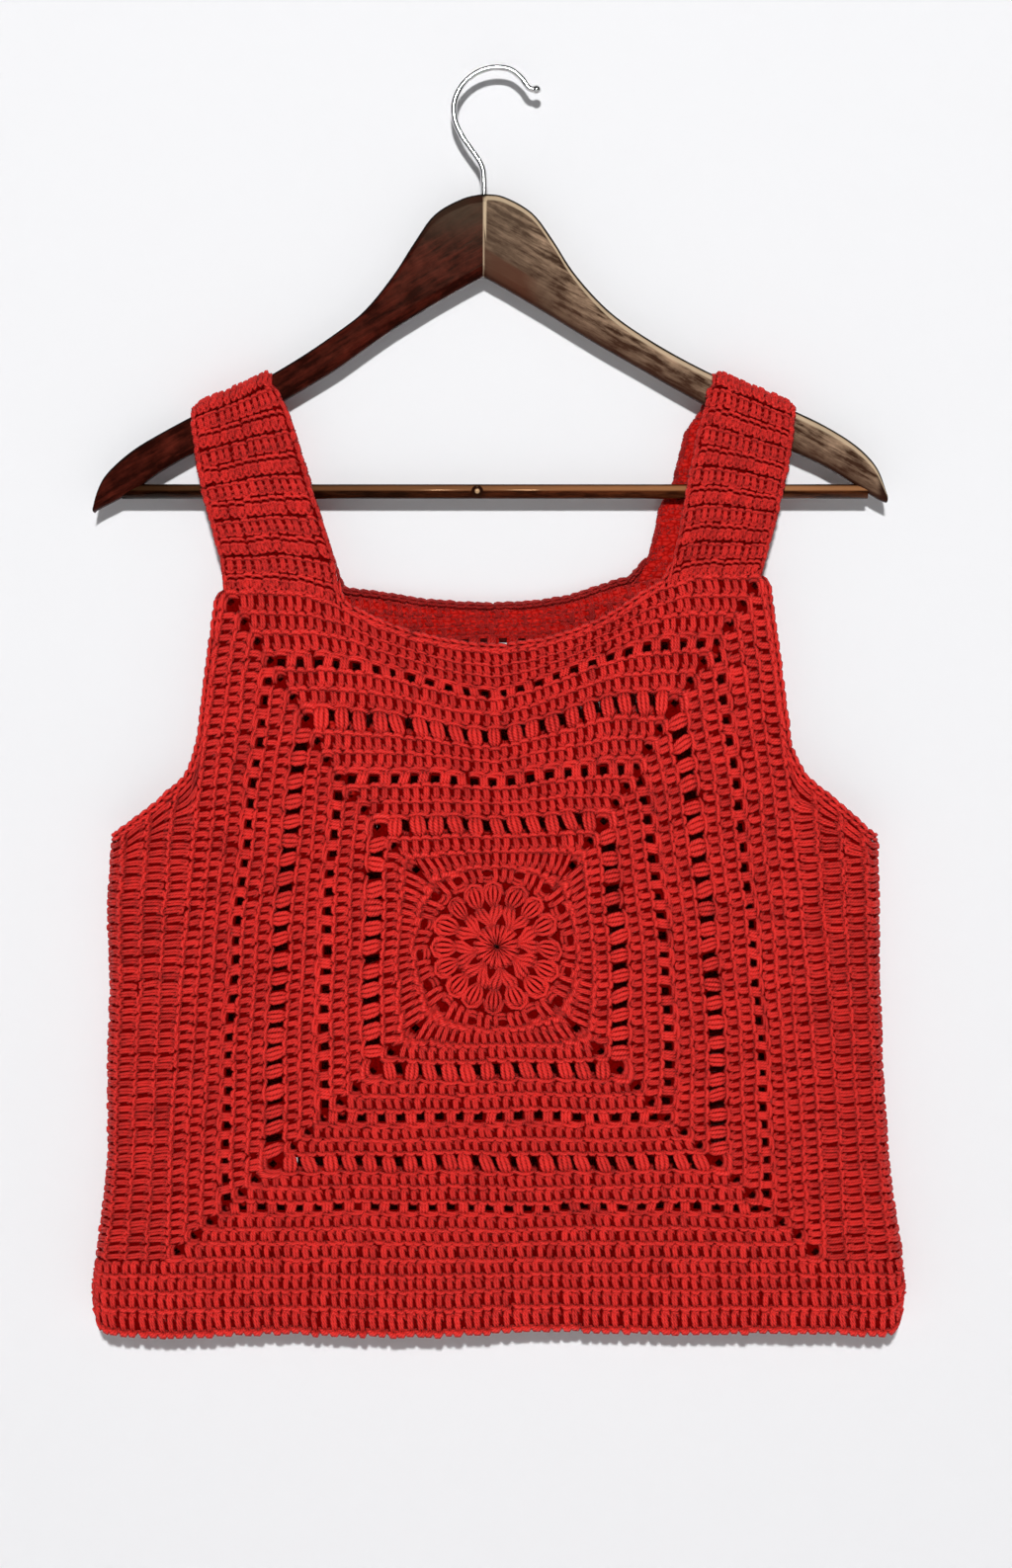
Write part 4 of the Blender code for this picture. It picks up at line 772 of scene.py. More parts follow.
# painted shade: deep red down between the strands and plies, brighter where the yarn stands out
depth = sums(plied, "MULTIPLY_ADD", ply, 0.35, measured(plied, "shade"))
patch = sums(plied, "MULTIPLY_ADD", speckle(plied, on_piece(plied), 330.0, 3.0, 0.7), 1.15, -0.66)
bright = sums(plied, "ADD", depth, patch, use_clamp=True)
plug(plied, result, {"Color": mixed(plied, bright, given["Deep"], given["Base"]),
                     "Height": sums(plied, "MULTIPLY_ADD", fuzz, 0.55, ply)})

red_yarn, tree, shader = new_material("red_cotton", Roughness=0.58, Sheen_Weight=0.05, Sheen_Roughness=0.45,
                                      Sheen_Tint=(1.0, 0.45, 0.40, 1.0), Specular_IOR_Level=0.34)
yarn = node(tree, "Group", node_tree=plied)
# Deep is the dark red of the painted shade down between the strands
plug(tree, yarn, {"Base": (0.88, 0.027, 0.020, 1.0), "Deep": (0.24, 0.0008, 0.0006, 1.0)})
plug(tree, shader, {"Base Color": yarn.outputs["Color"]})
bumped(tree, shader, yarn.outputs["Height"], 1.0, 0.0004)


def strand(points, thick, sides=4):
    """One strand of yarn through points (along, up, out) in millimetres, thick as a radius.

    Returns its corners, faces and the winding map that the plies follow.
    """
    path = [Vector(p) for p in points]
    sizes = [thick] * len(path) if isinstance(thick, float) else thick
    bm, rings = stacked_rings(sides, len(path))
    turn = {v: math.atan2(v.co.y, v.co.x) / (2 * math.pi) % 1.0 for v in bm.verts}
    long, reach = {}, 0.0
    for k, (spot, ring) in enumerate(zip(path, rings)):
        before, after = neighbours(path, k)
        reach += (spot - before).length
        long.update({v: reach / (2 * max(sizes)) for v in ring})
        stand = (after - before).normalized().to_track_quat("Z", "Y").to_matrix().to_4x4()
        stand = Matrix.Translation(spot) @ stand @ Matrix.Scale(sizes[k], 4)
        bmesh.ops.transform(bm, matrix=stand, verts=ring)
    close_ends(bm, rings)
    bm.verts.index_update()
    corners = np.array([tuple(v.co) for v in bm.verts])
    faces, winding = [], []
    for face in bm.faces:
        faces.append([v.index for v in face.verts])
        first = turn[face.verts[0]]
        winding += [(long[v], first + (turn[v] - first + 0.5) % 1.0 - 0.5) for v in face.verts]
    bm.free()
    return corners, faces, winding


def stitch(width, height, *strands):
    """Several strands as one stitch, its size in millimetres taken off so that cells can stretch it."""
    corners, faces, winding = [], [], []
    for spots, sides, wound in (strand(*drawn) for drawn in strands):
        first = sum(len(c) for c in corners)
        corners.append(spots)
        faces += [[n + first for n in face] for face in sides]
        winding += wound
    return np.concatenate(corners) / (width, height, 1.0), faces, np.array(winding)


def mirrored(corners, faces, winding):
    """The same stitch worked the other way round."""
    ends = np.cumsum([len(face) for face in faces])[:-1]
    return (corners * (-1, 1, 1) + (1, 0, 0), [face[::-1] for face in faces],
            np.concatenate([part[::-1] for part in np.split(winding, ends)]))


def crocheted(name, rows, place, seed):
    """Work stitches into cells: rows holds (stitch, cells, lift in mm); place lays them on the form."""
    rng = np.random.default_rng(seed)
    spots, sizes, corners, winding, shades = [], [], [], [], []
    total = 0
    for (shape, faces, wound), cells, lift in rows:
        if len(cells) == 0:
            continue
        count, size = len(cells), len(shape)
        slip = rng.normal(0.0, (0.06, 0.035, 0.20), (count, 1, 3))
        lean, swell, bulge = rng.normal((0.0, 1.0, 1.0), (0.10, 0.07, 0.12), (count, 3)).T[:, :, None]
        points = np.repeat(shape[None], count, 0)
        points[:, :, 0] = 0.5 + (points[:, :, 0] - 0.5) * swell + lean * (points[:, :, 1] - 0.5)
        points[:, :, 2] = points[:, :, 2] * bulge + lift
        along, up, out = (points + slip).reshape(-1, 3).T
        spots.append(np.stack(place(np.repeat(cells, size, 0), along, up, out * MM), 1))
        loops = np.concatenate(faces)
        corners.append((loops[None] + (total + size * np.arange(count))[:, None]).ravel())
        sizes.append(np.tile([len(face) for face in faces], count))
        winding.append(np.tile(wound, (count, 1)) + np.repeat(rng.uniform(0, 1, (count, 1)), len(loops), 0))
        # painted shade: points lower in a stitch are darker; each stitch also gets a random tone
        tone = 0.12 + 0.72 * (out + 1.2) / 3.0 + np.repeat(rng.normal(0, 0.08, count), size)
        shades.append(np.clip(tone, 0, 1))
        total += size * count
    spots, sizes, corners, winding, shades = map(np.concatenate, (spots, sizes, corners, winding, shades))
    mesh = bpy.data.meshes.new(name)
    mesh.vertices.add(len(spots))
    mesh.loops.add(len(corners))
    mesh.polygons.add(len(sizes))
    mesh.vertices.foreach_set("co", spots.ravel())
    mesh.loops.foreach_set("vertex_index", corners.astype(np.int32))
    mesh.polygons.foreach_set("loop_start", (np.cumsum(sizes) - sizes).astype(np.int32))
    mesh.polygons.foreach_set("loop_total", sizes.astype(np.int32))
    mesh.uv_layers.new(name="UVMap").data.foreach_set("uv", winding.ravel())
    mesh.attributes.new("shade", "FLOAT", "POINT").data.foreach_set("value", shades)
    mesh.update(calc_edges=True)
    bm = bmesh.new()
    bm.from_mesh(mesh)
    if bm.calc_volume(signed=True) < 0.0:
        bmesh.ops.reverse_faces(bm, faces=bm.faces)
    bpy.data.meshes.remove(mesh)
    return shown(name, bm, [red_yarn])


double_crochet = stitch(
    5.5, 8.3,
    ([(0.0, 3.2, -1.1), (1.2, 1.2, -0.1), (3.2, 0.9, 0.0), (4.8, 2.9, -1.0)], (0.85, 1.05, 1.05, 0.85)),
    ([(2.4, 0.4, -0.7), (2.5, 2.8, 0.05), (2.0, 5.4, -0.05), (1.4, 7.8, -0.8)], (1.0, 1.15, 1.1, 0.95)),
    ([(3.8, 0.5, -0.7), (4.0, 2.9, 0.2), (3.4, 5.5, 0.1), (2.9, 7.9, -0.7)], (1.0, 1.15, 1.1, 0.95)),
    ([(-0.7, 7.1, -0.8), (1.4, 8.5, 0.55), (3.8, 8.4, 0.55), (6.1, 6.9, -0.8)], (0.9, 1.25, 1.25, 0.9)))
corner_space = stitch(
    8.3, 8.3,
    ([(-0.8, 7.0, -0.7), (2.2, 8.3, 0.3), (6.0, 8.3, 0.3), (9.0, 7.0, -0.7)], (1.0, 1.25, 1.25, 1.0)),
    ([(-0.4, 5.6, -1.0), (2.5, 6.5, -0.1), (5.8, 6.5, -0.1), (8.6, 5.6, -1.0)], (0.9, 1.0, 1.0, 0.9)))
puff = stitch(
    10.7, 11.4,
    ([(5.2, -0.3, -1.0), (3.0, 3.4, 0.0), (1.8, 7.6, 0.1), (2.3, 11.0, -0.9)], (1.0, 1.3, 1.3, 1.0), 5),
    ([(6.3, -0.3, -0.8), (5.6, 3.2, 0.9), (4.5, 7.4, 1.0), (4.0, 11.3, -0.7)], (1.0, 1.3, 1.3, 1.0), 5),
    ([(7.4, -0.3, -1.0), (8.2, 3.2, 0.0), (7.2, 7.4, 0.1), (5.7, 11.0, -0.9)], (1.0, 1.3, 1.3, 1.0), 5),
    ([(-0.7, 10.1, -0.8), (2.6, 11.5, 0.3), (6.6, 11.5, 0.3), (11.4, 10.0, -0.8)], 1.15))
eyelet = stitch(
    10.6, 8.6,
    ([(6.9, 0.0, -0.7), (7.2, 2.2, 0.2), (7.1, 4.6, 0.2), (6.8, 7.2, -0.4)], (1.1, 1.3, 1.3, 1.1)),
    ([(8.7, -0.1, -0.6), (9.0, 2.2, 0.3), (8.9, 4.6, 0.3), (8.7, 7.2, -0.4)], (1.1, 1.3, 1.3, 1.1)),
    ([(10.8, 0.0, -0.8), (10.6, 2.2, 0.0), (10.4, 4.6, 0.0), (10.7, 7.2, -0.5)], (1.1, 1.2, 1.2, 1.1)),
    ([(-0.6, 6.2, -0.8), (1.8, 7.2, 0.1), (4.6, 7.1, 0.1), (7.0, 6.4, -0.6)], 1.15),
    ([(-0.5, 7.6, -0.7), (3.2, 8.6, 0.3), (7.2, 8.6, 0.3), (11.2, 7.5, -0.7)], 1.15))
chain_space = stitch(
    5.0, 9.5,
    ([(-0.5, 1.2, -0.7), (1.4, 0.6, 0.1), (3.6, 0.6, 0.1), (5.5, 1.2, -0.7)], 1.1),
    ([(-0.8, 3.6, -0.9), (1.2, 2.7, -0.1), (3.8, 2.7, -0.1), (5.8, 3.6, -0.9)], 1.0),
    ([(-0.9, 6.8, -0.9), (1.2, 8.2, 0.2), (3.8, 8.2, 0.2), (5.9, 6.8, -0.9)], (0.9, 1.25, 1.25, 0.9)),
    ([(-0.8, 8.2, -0.9), (1.4, 9.6, 0.2), (3.6, 9.6, 0.2), (5.8, 8.2, -0.9)], (0.9, 1.1, 1.1, 0.9)))
spoke = stitch(
    5.0, 10.0,
    ([(2.2, -0.6, -0.9), (1.5, 3.0, 0.0), (0.9, 6.8, 0.6), (1.4, 10.6, -0.6)], (0.8, 1.0, 1.25, 1.1), 5),
    ([(2.8, -0.6, -0.9), (3.5, 3.0, 0.0), (4.1, 6.8, 0.6), (3.6, 10.6, -0.6)], (0.8, 1.0, 1.25, 1.1), 5))
petal_left = stitch(
    7.0, 12.0,
    ([(5.4, -0.9, -0.9), (3.0, 3.4, 0.0), (0.6, 7.6, 0.2), (1.4, 11.6, -0.9)], (0.9, 1.1, 1.15, 0.9), 5),
    ([(5.9, -0.9, -0.6), (4.8, 3.6, 0.7), (3.0, 7.8, 0.8), (2.8, 12.2, -0.7)], (0.9, 1.1, 1.15, 0.9), 5),
    ([(6.4, -0.9, -0.9), (6.8, 3.6, 0.0), (5.6, 7.8, 0.2), (4.4, 11.6, -0.9)], (0.9, 1.1, 1.15, 0.9), 5))
petal_right = mirrored(*petal_left)
cluster = stitch(
    12.0, 12.7,
    ([(4.2, -0.8, -0.9), (1.6, 3.4, 0.0), (1.5, 7.6, 0.2), (3.9, 11.0, -0.6)], (0.95, 1.15, 1.15, 0.9), 5),
    ([(5.4, -0.8, -0.7), (4.5, 3.6, 0.8), (4.5, 7.6, 0.7), (5.3, 11.0, -0.3)], (0.95, 1.15, 1.15, 0.9), 5),
    ([(6.6, -0.8, -0.7), (7.5, 3.6, 0.8), (7.5, 7.6, 0.7), (6.7, 11.0, -0.3)], (0.95, 1.15, 1.15, 0.9), 5),
    ([(7.8, -0.8, -0.9), (10.4, 3.4, 0.0), (10.5, 7.6, 0.2), (8.1, 11.0, -0.6)], (0.95, 1.15, 1.15, 0.9), 5),
    ([(-0.6, 6.0, -1.1), (2.2, 11.0, 0.1), (6.0, 12.8, 0.4), (9.8, 11.0, 0.1), (12.6, 6.0, -1.1)], 1.15))


def wheel(inner, outer, count, turn=0.0):
    """Cells of a round that is still a circle."""
    rows = []
    for k in range(count):
        start = (k + turn) * 4.0 / count
        end = start + 4.0 / count
        side = int((start + end) / 2) % 4
        low, high = ((t - 4.0 * (start >= 4.0) - side) * 2 - 1 for t in (start, end))
        rows.append((side, inner, outer, low * inner, high * inner, low * outer, high * outer))
    return np.array(rows)


def corner_cells(side, inner, outer, corner=None):
    """The two spaces left at the ends of one side of a round."""
    near = inner + CORNER_GAP
    far = near if corner is None else outer - corner
    return np.array([(side, inner, outer, -near, -near, -outer, -far),
                     (side, inner, outer, near, near, far, outer)])


def end_cells(side, inner, outer, reach, short):
    """Short cells at both ends of one side of a round."""
    pairs = ((-reach, short - reach), (reach - short, reach))
    return np.array([(side, inner, outer, *pair, *pair) for pair in pairs])


def side_of_round(face, kind, side, inner, outer):
    """The stitches of one side of a square round, and of its corners."""
    if kind in GAP_SHAPES:
        cells = gap_cells(face, kind, side, inner, outer)
        rows = [(puff if kind == "puff" else eyelet, cells, 0.0),
                (corner_space, corner_cells(side, inner, outer), 0.0)]
        if face == FRONT:
            return rows
        # the back's gaps are shifted, so plain stitches fill the round to its corners
        if kind == "puff":
            wide = cells[0, 4] - cells[0, 3]
            rows[0] = (puff, cells[1:], 0.0)
            filled = end_cells(side, inner, outer, cells[-1, 4] + wide / 2, 0.3 * wide)
        else:
            near = inner + CORNER_GAP
            filled = end_cells(side, inner, outer, near, near / (len(cells) + 1))
        return [(double_crochet, filled, 0.0)] + rows
    corner = OPEN_CORNERS.get(round(inner / MM, 1))
    cells = spread(face, side, inner, outer, OPEN_PITCH if corner else POST_PITCH, corner)
    spaces = (np.arange(len(cells)) % CHAIN_EVERY == CHAIN_EVERY // 2) & (kind == "open")
    return [(double_crochet, cells[~spaces], 0.0), (chain_space, cells[spaces], 0.0),
            (corner_space, corner_cells(side, inner, outer, corner), 0.0)]


def panel_rows(face, low, high):
    """Every stitch of the rounds between two radii."""
    rows = []
    for kind, inner, outer in round_spans():
        if not low < outer <= high:
            continue
        if kind == "spoke":
            rows.append((spoke, wheel(HUB, outer, SPOKES), 0.1))
        elif kind == "pair":
            cells = wheel(inner, outer, PETALS, 0.5)
            rows += [(petal_left, cells[0::2], 0.3), (petal_right, cells[1::2], 0.3)]
        elif kind == "cluster":
            rows.append((cluster, wheel(inner, outer, PETALS, 0.5), 0.3))
        else:
            rows += sum((side_of_round(face, kind, side, inner, outer) for side in range(4)), [])
    return rows


front_pieces = [
    crocheted("front_square_centre_stitches",
              panel_rows(FRONT, 0.0, CENTRE_TO), panel_place(FRONT), 11),
    crocheted("front_square_border_stitches",
              panel_rows(FRONT, CENTRE_TO, BORDER_TO), panel_place(FRONT), 12)]

# ---- back panel ----------------------------------------------------------------------------------
# The back is the same square, worked the same way; its top side sags less, so the back neck sits
# higher than the front one and its inside shows above the front neck.
back_ground = thickened("back_square_ground", panel_ground(BACK), ["back_panel"])
back_pieces = [
    crocheted("back_square_centre_stitches", panel_rows(BACK, 0.0, CENTRE_TO), panel_place(BACK), 21),
    crocheted("back_square_border_stitches", panel_rows(BACK, CENTRE_TO, BORDER_TO), panel_place(BACK), 22)]

# ---- side panels ---------------------------------------------------------------------------------
# Between front and back, under each arm, the cloth is widened by upright rows of long stitches that
# run round the side fold. Their upper end is shaped to the armhole.
ARMHOLE = (  # z, left and right, the outer line of the armhole's edging
    (-349.2, -158.5, 161.8), (-362.5, -160.1, 164.0), (-375.9, -164.6, 167.4), (-389.2, -168.5, 171.8),
    (-396.0, -171.6, 175.4), (-402.5, -178.4, 183.2), (-409.2, -186.2, 191.8), (-415.9, -194.6, 199.6),
    (-421.8, -203.0, 206.0), (-426.5, -208.8, 211.4), (-430.0, -213.5, 216.0))
ARMHOLE_START = {-1: 0.60, 1: 0.56}
EDGING_WIDTH, EDGING_GAP = 4.2 * MM, 0.3 * MM
FOLD_ROUND = 10.5 * MM
COLUMNS, LONG_PITCH = 4, 4.6 * MM


def seam_line(face, side):
    """The square's side edge below the armhole, from the bottom up."""
    t = np.linspace(-1.0, ARMHOLE_START[side], 13)
    return lay(face, 3 if side < 0 else 1, EDGE + 0.15 * MM, t if side < 0 else -t)


def fold_quarter(side, z, flat_x):
    """Where the fold starts, and the lengths of the flat part and of half the fold."""
    start = abs(fold_x(side, z)) - FOLD_ROUND
    return start, start - abs(flat_x), 0.5 * math.pi * (FOLD_ROUND + half_depth(z)) / 2


def round_fold(side, z, flat_x, share, out):
    """X and depth at a share of the way from a flat edge to the middle of the fold."""
    start, flat, quarter = fold_quarter(side, z, flat_x)
    along = share * (flat + quarter)
    angle = np.clip((along - flat) / quarter, 0.0, 1.05) * math.pi / 2
    x = np.where(along <= flat, abs(flat_x) + along, start + (FOLD_ROUND + out) * np.sin(angle))
    return side * x, np.where(along <= flat, 1.0, np.cos(angle)) * (half_depth(z) + out)


def armhole_tops(side, seam_x, seam_z):
    """Height of the cloth's upper edge at shares of the way from the seam to the fold."""
    line = [Vector((row[1 if side < 0 else 2], row[0])) * MM for row in ARMHOLE]
    shares, heights = [0.0], [float(seam_z[-1])]
    for k, spot in enumerate(line):
        before, after = neighbours(line, k)
        along = after - before
        inner = spot + Vector((along.y, -along.x)).normalized() * side * (EDGING_WIDTH + EDGING_GAP)
        start, flat, quarter = fold_quarter(side, inner.y, np.interp(inner.y, seam_z, seam_x))
        past = abs(inner.x) - start
        arc = math.asin(min(1.0, max(0.0, past) / FOLD_ROUND)) / (math.pi / 2) * quarter
        share = (min(past, 0.0) + flat + arc) / (flat + quarter)
        if inner.y < seam_z[-1] - MM and share > shares[-1]:
            shares.append(float(share))
            heights.append(float(inner.y))
    return shares + [1.0], heights + [inner.y]


def side_place(side):
    """Places points of a side's cells: face, levels from the hem up, shares from the seam to the fold."""
    seams = {face: seam_line(face, side) for face in (FRONT, BACK)}
    tops = {face: armhole_tops(side, *seams[face]) for face in (FRONT, BACK)}

    def place(cell, u, v, out):
        face, level0, level1, share0, share1 = cell.T
        share = share0 + (share1 - share0) * v
        level = level0 + (level1 - level0) * u
        x, y, z = (np.zeros(len(u)) for _ in range(3))
        for one in (FRONT, BACK):
            here = face == one
            seam_x, seam_z = seams[one]
            # stitches lie level, but those by the armhole follow its slope
            top = np.interp(share[here], *tops[one])
            middle = np.interp((share0[here] + share1[here]) / 2, *tops[one])
            z[here] = HEM_TOP + (middle - HEM_TOP) * level[here]
            z[here] += (top - middle) * ease(z[here], middle - 24.0 * MM, middle)
            flat_x = np.interp(z[here], seam_z, seam_x)
            x[here], depth = round_fold(side, z[here], flat_x, share[here], out[here])
            y[here] = one * (depth - crease(one, x[here], z[here])) + drape(one, x[here], z[here])
        return x, y, z
    return place


def ground_row(place, cells):
    """Points of a ground at the starts of cells, a little way in from the face of the cloth."""
    cells = np.array(cells)
    still = np.zeros(len(cells))
    return np.stack(place(cells, still, still, still - GROUND_IN), 1)


def woven(name, rows, replaced, ring=False):
    """A ground without gaps, bridged row by row from lists of points."""
    bm = bmesh.new()
    above = None
    for row in rows:
        verts = [bm.verts.new(p) for p in row]
        edges = [bm.edges.new(pair) for pair in zip(verts, verts[1:] + (verts[:1] if ring else []))]
        if above:
            bmesh.ops.bridge_loops(bm, edges=above + edges)
        above = edges
    return thickened(name, bm, replaced)


def side_ground(name, side, replaced):
    """A side's ground, from the front seam round the fold to the back one."""
    place = side_place(side)
    shares = np.linspace(0.0, 1.0, 15)
    round_it = [(FRONT, share) for share in shares] + [(BACK, share) for share in shares[-2::-1]]
    rows = [ground_row(place, [(face, level, level, share, share) for face, share in round_it])
            for level in np.linspace(0.0, 1.0, 41)]
    return woven(name, rows, replaced)


def side_rows(side):
    """Four upright rows on each face; the last one reaches round the fold."""
    rows = []
    for face in (FRONT, BACK):
        tops = armhole_tops(side, *seam_line(face, side))
        for column in range(COLUMNS):
            count = round((np.interp((column + 0.5) / COLUMNS, *tops) - HEM_TOP) / LONG_PITCH)
            levels = np.linspace(0.0, 1.0, count + 1)
            order = 1 if (face == FRONT) == (side < 0) else -1
            cells = [(face, *pair[::order], column / COLUMNS, (column + 1) / COLUMNS)
                     for pair in zip(levels, levels[1:])]
            rows.append((long_stitch, np.array(cells), 0.0))
    return rows


long_stitch = stitch(
    4.7, 10.6,
    ([(0.1, 3.2, -1.0), (1.1, 1.1, 0.0), (2.9, 0.8, 0.1), (4.0, 3.5, -0.8)], (0.85, 1.0, 1.0, 0.85)),
    ([(1.6, 0.4, -0.6), (1.8, 3.8, 0.05), (1.4, 7.2, -0.05), (0.9, 10.2, -0.8)], (0.9, 1.0, 0.95, 0.9)),
    ([(3.2, 0.6, -0.5), (3.4, 4.0, 0.2), (2.9, 7.4, 0.1), (2.4, 10.4, -0.7)], (0.9, 1.0, 0.95, 0.9)),
    ([(-0.6, 9.2, -0.9), (1.2, 10.8, 0.35), (3.3, 10.7, 0.35), (5.2, 9.0, -0.9)], (0.85, 1.1, 1.1, 0.85)))
side_left_ground = side_ground("left_side_ground", -1, ["side_panel_left"])
side_right_ground = side_ground("right_side_ground", 1, ["side_panel_right"])
side_left_stitches = crocheted("left_side_stitches", side_rows(-1), side_place(-1), 31)
side_right_stitches = crocheted("right_side_stitches", side_rows(1), side_place(1), 32)

# ---- hem band ------------------------------------------------------------------------------------
# Four rounds worked downward all round the lower edge, the last one a little deeper; the edge dips
# and rises softly, and turns up in rounded corners at the side folds.
HEM_LINES = (0.0, 0.22, 0.44, 0.69, 1.0)
HEM_CORNER = 11.0 * MM
HEM_COUNT, HEM_STATIONS = 43, 40    # stitches and ground points from a middle line to a fold


def hem_edge(x):
    """Height of the lower edge."""
    half = fold_near(x, HEM_BOTTOM)
    past = np.clip(abs(x) - (half - HEM_CORNER), 0.0, HEM_CORNER)
    rise = HEM_CORNER - np.sqrt(HEM_CORNER ** 2 - past ** 2)
    wave = 2.0 * MM * np.sin(x / (33.0 * MM) + 0.4) * np.cos(x / (71.0 * MM))
    return HEM_BOTTOM + rise + wave * (1.0 - past / HEM_CORNER)


def hem_place(cell, u, v, out):
    """Place of a stitch point: face, side, shares from the middle line to the fold, rows downward."""
    face, side, share0, share1, level0, level1 = cell.T
    share = share0 + (share1 - share0) * u
    level = level0 + (level1 - level0) * v
    z = HEM_TOP + (HEM_BOTTOM - HEM_TOP) * level
    x, depth = np.zeros(len(u)), np.zeros(len(u))
    for one in (-1, 1):
        here = side == one
        x[here], depth[here] = round_fold(one, z[here], np.zeros(here.sum()), share[here], out[here])
    z = HEM_TOP + (hem_edge(x) - HEM_TOP) * level
    sway = np.where(face < 0, drape(FRONT, x, z), drape(BACK, x, z)) * (abs(x) < fold_near(x, z))
    return x, face * depth + sway, z


def hem_cells(level0, level1):
    """Cells of one round, as quarters from the middle line to each fold."""
    stops = np.arange(HEM_COUNT + 1) / HEM_COUNT
    return np.array([(face, side, *pair[::face * side], level0, level1)
                     for face in (FRONT, BACK) for side in (-1, 1) for pair in zip(stops, stops[1:])])


rows = []
for level in np.linspace(0.0, 1.0, 9):
    quarters = []
    for face, side in ((FRONT, -1), (FRONT, 1), (BACK, 1), (BACK, -1)):
        shares = np.linspace(0.0, 1.0, HEM_STATIONS + 1)[:-1]
        if face == side:
            shares = 1.0 - shares
        quarters += [(face, side, s, s, level, level) for s in shares]
    rows.append(ground_row(hem_place, quarters))
hem_ground = woven("hem_ground", rows, ["hem_band"], ring=True)
hem_stitches = crocheted("hem_stitches", [(double_crochet, hem_cells(low, high), 0.0)
                                          for low, high in zip(HEM_LINES, HEM_LINES[1:])], hem_place, 41)

# ---- shoulder straps -----------------------------------------------------------------------------
# Each strap is crocheted on to the square's top corner and carried over the hanger's arm to the
# back. Two rows make one band; a groove lies between bands where the work was turned.
STRAPS = {  # z, outer edge, inner edge, in millimetres
    ("left", FRONT): ((-300.0, -150.1, -85.0), (-275.8, -151.8, -88.4), (-249.1, -159.0, -97.3),
                      (-222.4, -164.6, -105.6), (-195.7, -167.9, -114.0), (-176.0, -166.0, -122.5),
                      (-160.0, -165.0, -127.0)),
    ("left", BACK): ((-300.0, -150.1, -85.0), (-275.8, -152.5, -89.4), (-249.1, -158.6, -98.0),
                     (-222.4, -163.6, -106.4), (-195.7, -167.0, -114.6), (-176.0, -165.8, -122.5),
                     (-160.0, -165.0, -127.0)),
    ("right", FRONT): ((-294.0, 156.2, 97.3), (-282.4, 156.8, 100.1), (-260.2, 160.1, 105.3),
                       (-226.9, 165.1, 111.2), (-205.2, 167.9, 115.6), (-187.0, 169.6, 120.5),
                       (-168.0, 168.8, 125.0)),
    ("right", BACK): ((-294.0, 154.2, 79.0), (-286.3, 155.0, 80.1), (-271.3, 157.0, 88.8),
                      (-245.9, 161.6, 95.1), (-230.7, 164.3, 102.7), (-201.8, 167.9, 110.5),
                      (-190.0, 169.2, 118.5), (-168.0, 168.8, 125.0))}
STRAP_STAND = {"left": 3.4 * MM, "right": 1.2 * MM}
CLOTH_ROUND, STRAP_WALL = 5.7 * MM, 2.2 * MM
UP_ROWS, OVER_ROWS = 10, 2
STRAP_ROWS = 2 * UP_ROWS + OVER_ROWS
STRAP_STITCHES = 12
GROOVE_DEEP, GROOVE_WIDE, SWELL = 1.5 * MM, 0.10, 0.5 * MM    # the width is a share of a row
INNER_DROP, INNER_RIM = 2.6 * MM, 0.16                        # each rim is a share of the strap's width
OUTER_DROP, OUTER_RIM = 1.4 * MM, 0.12
STITCHED_FROM, STITCHED = 0.04, 0.92                          # shares of the width, between turning loops


def strap_edge(name, face, z, column):
    """X of a strap's outer (1) or inner (2) edge."""
    table = np.array(sorted(STRAPS[name, face])).T * MM
    return np.interp(z, table[0], table[column])


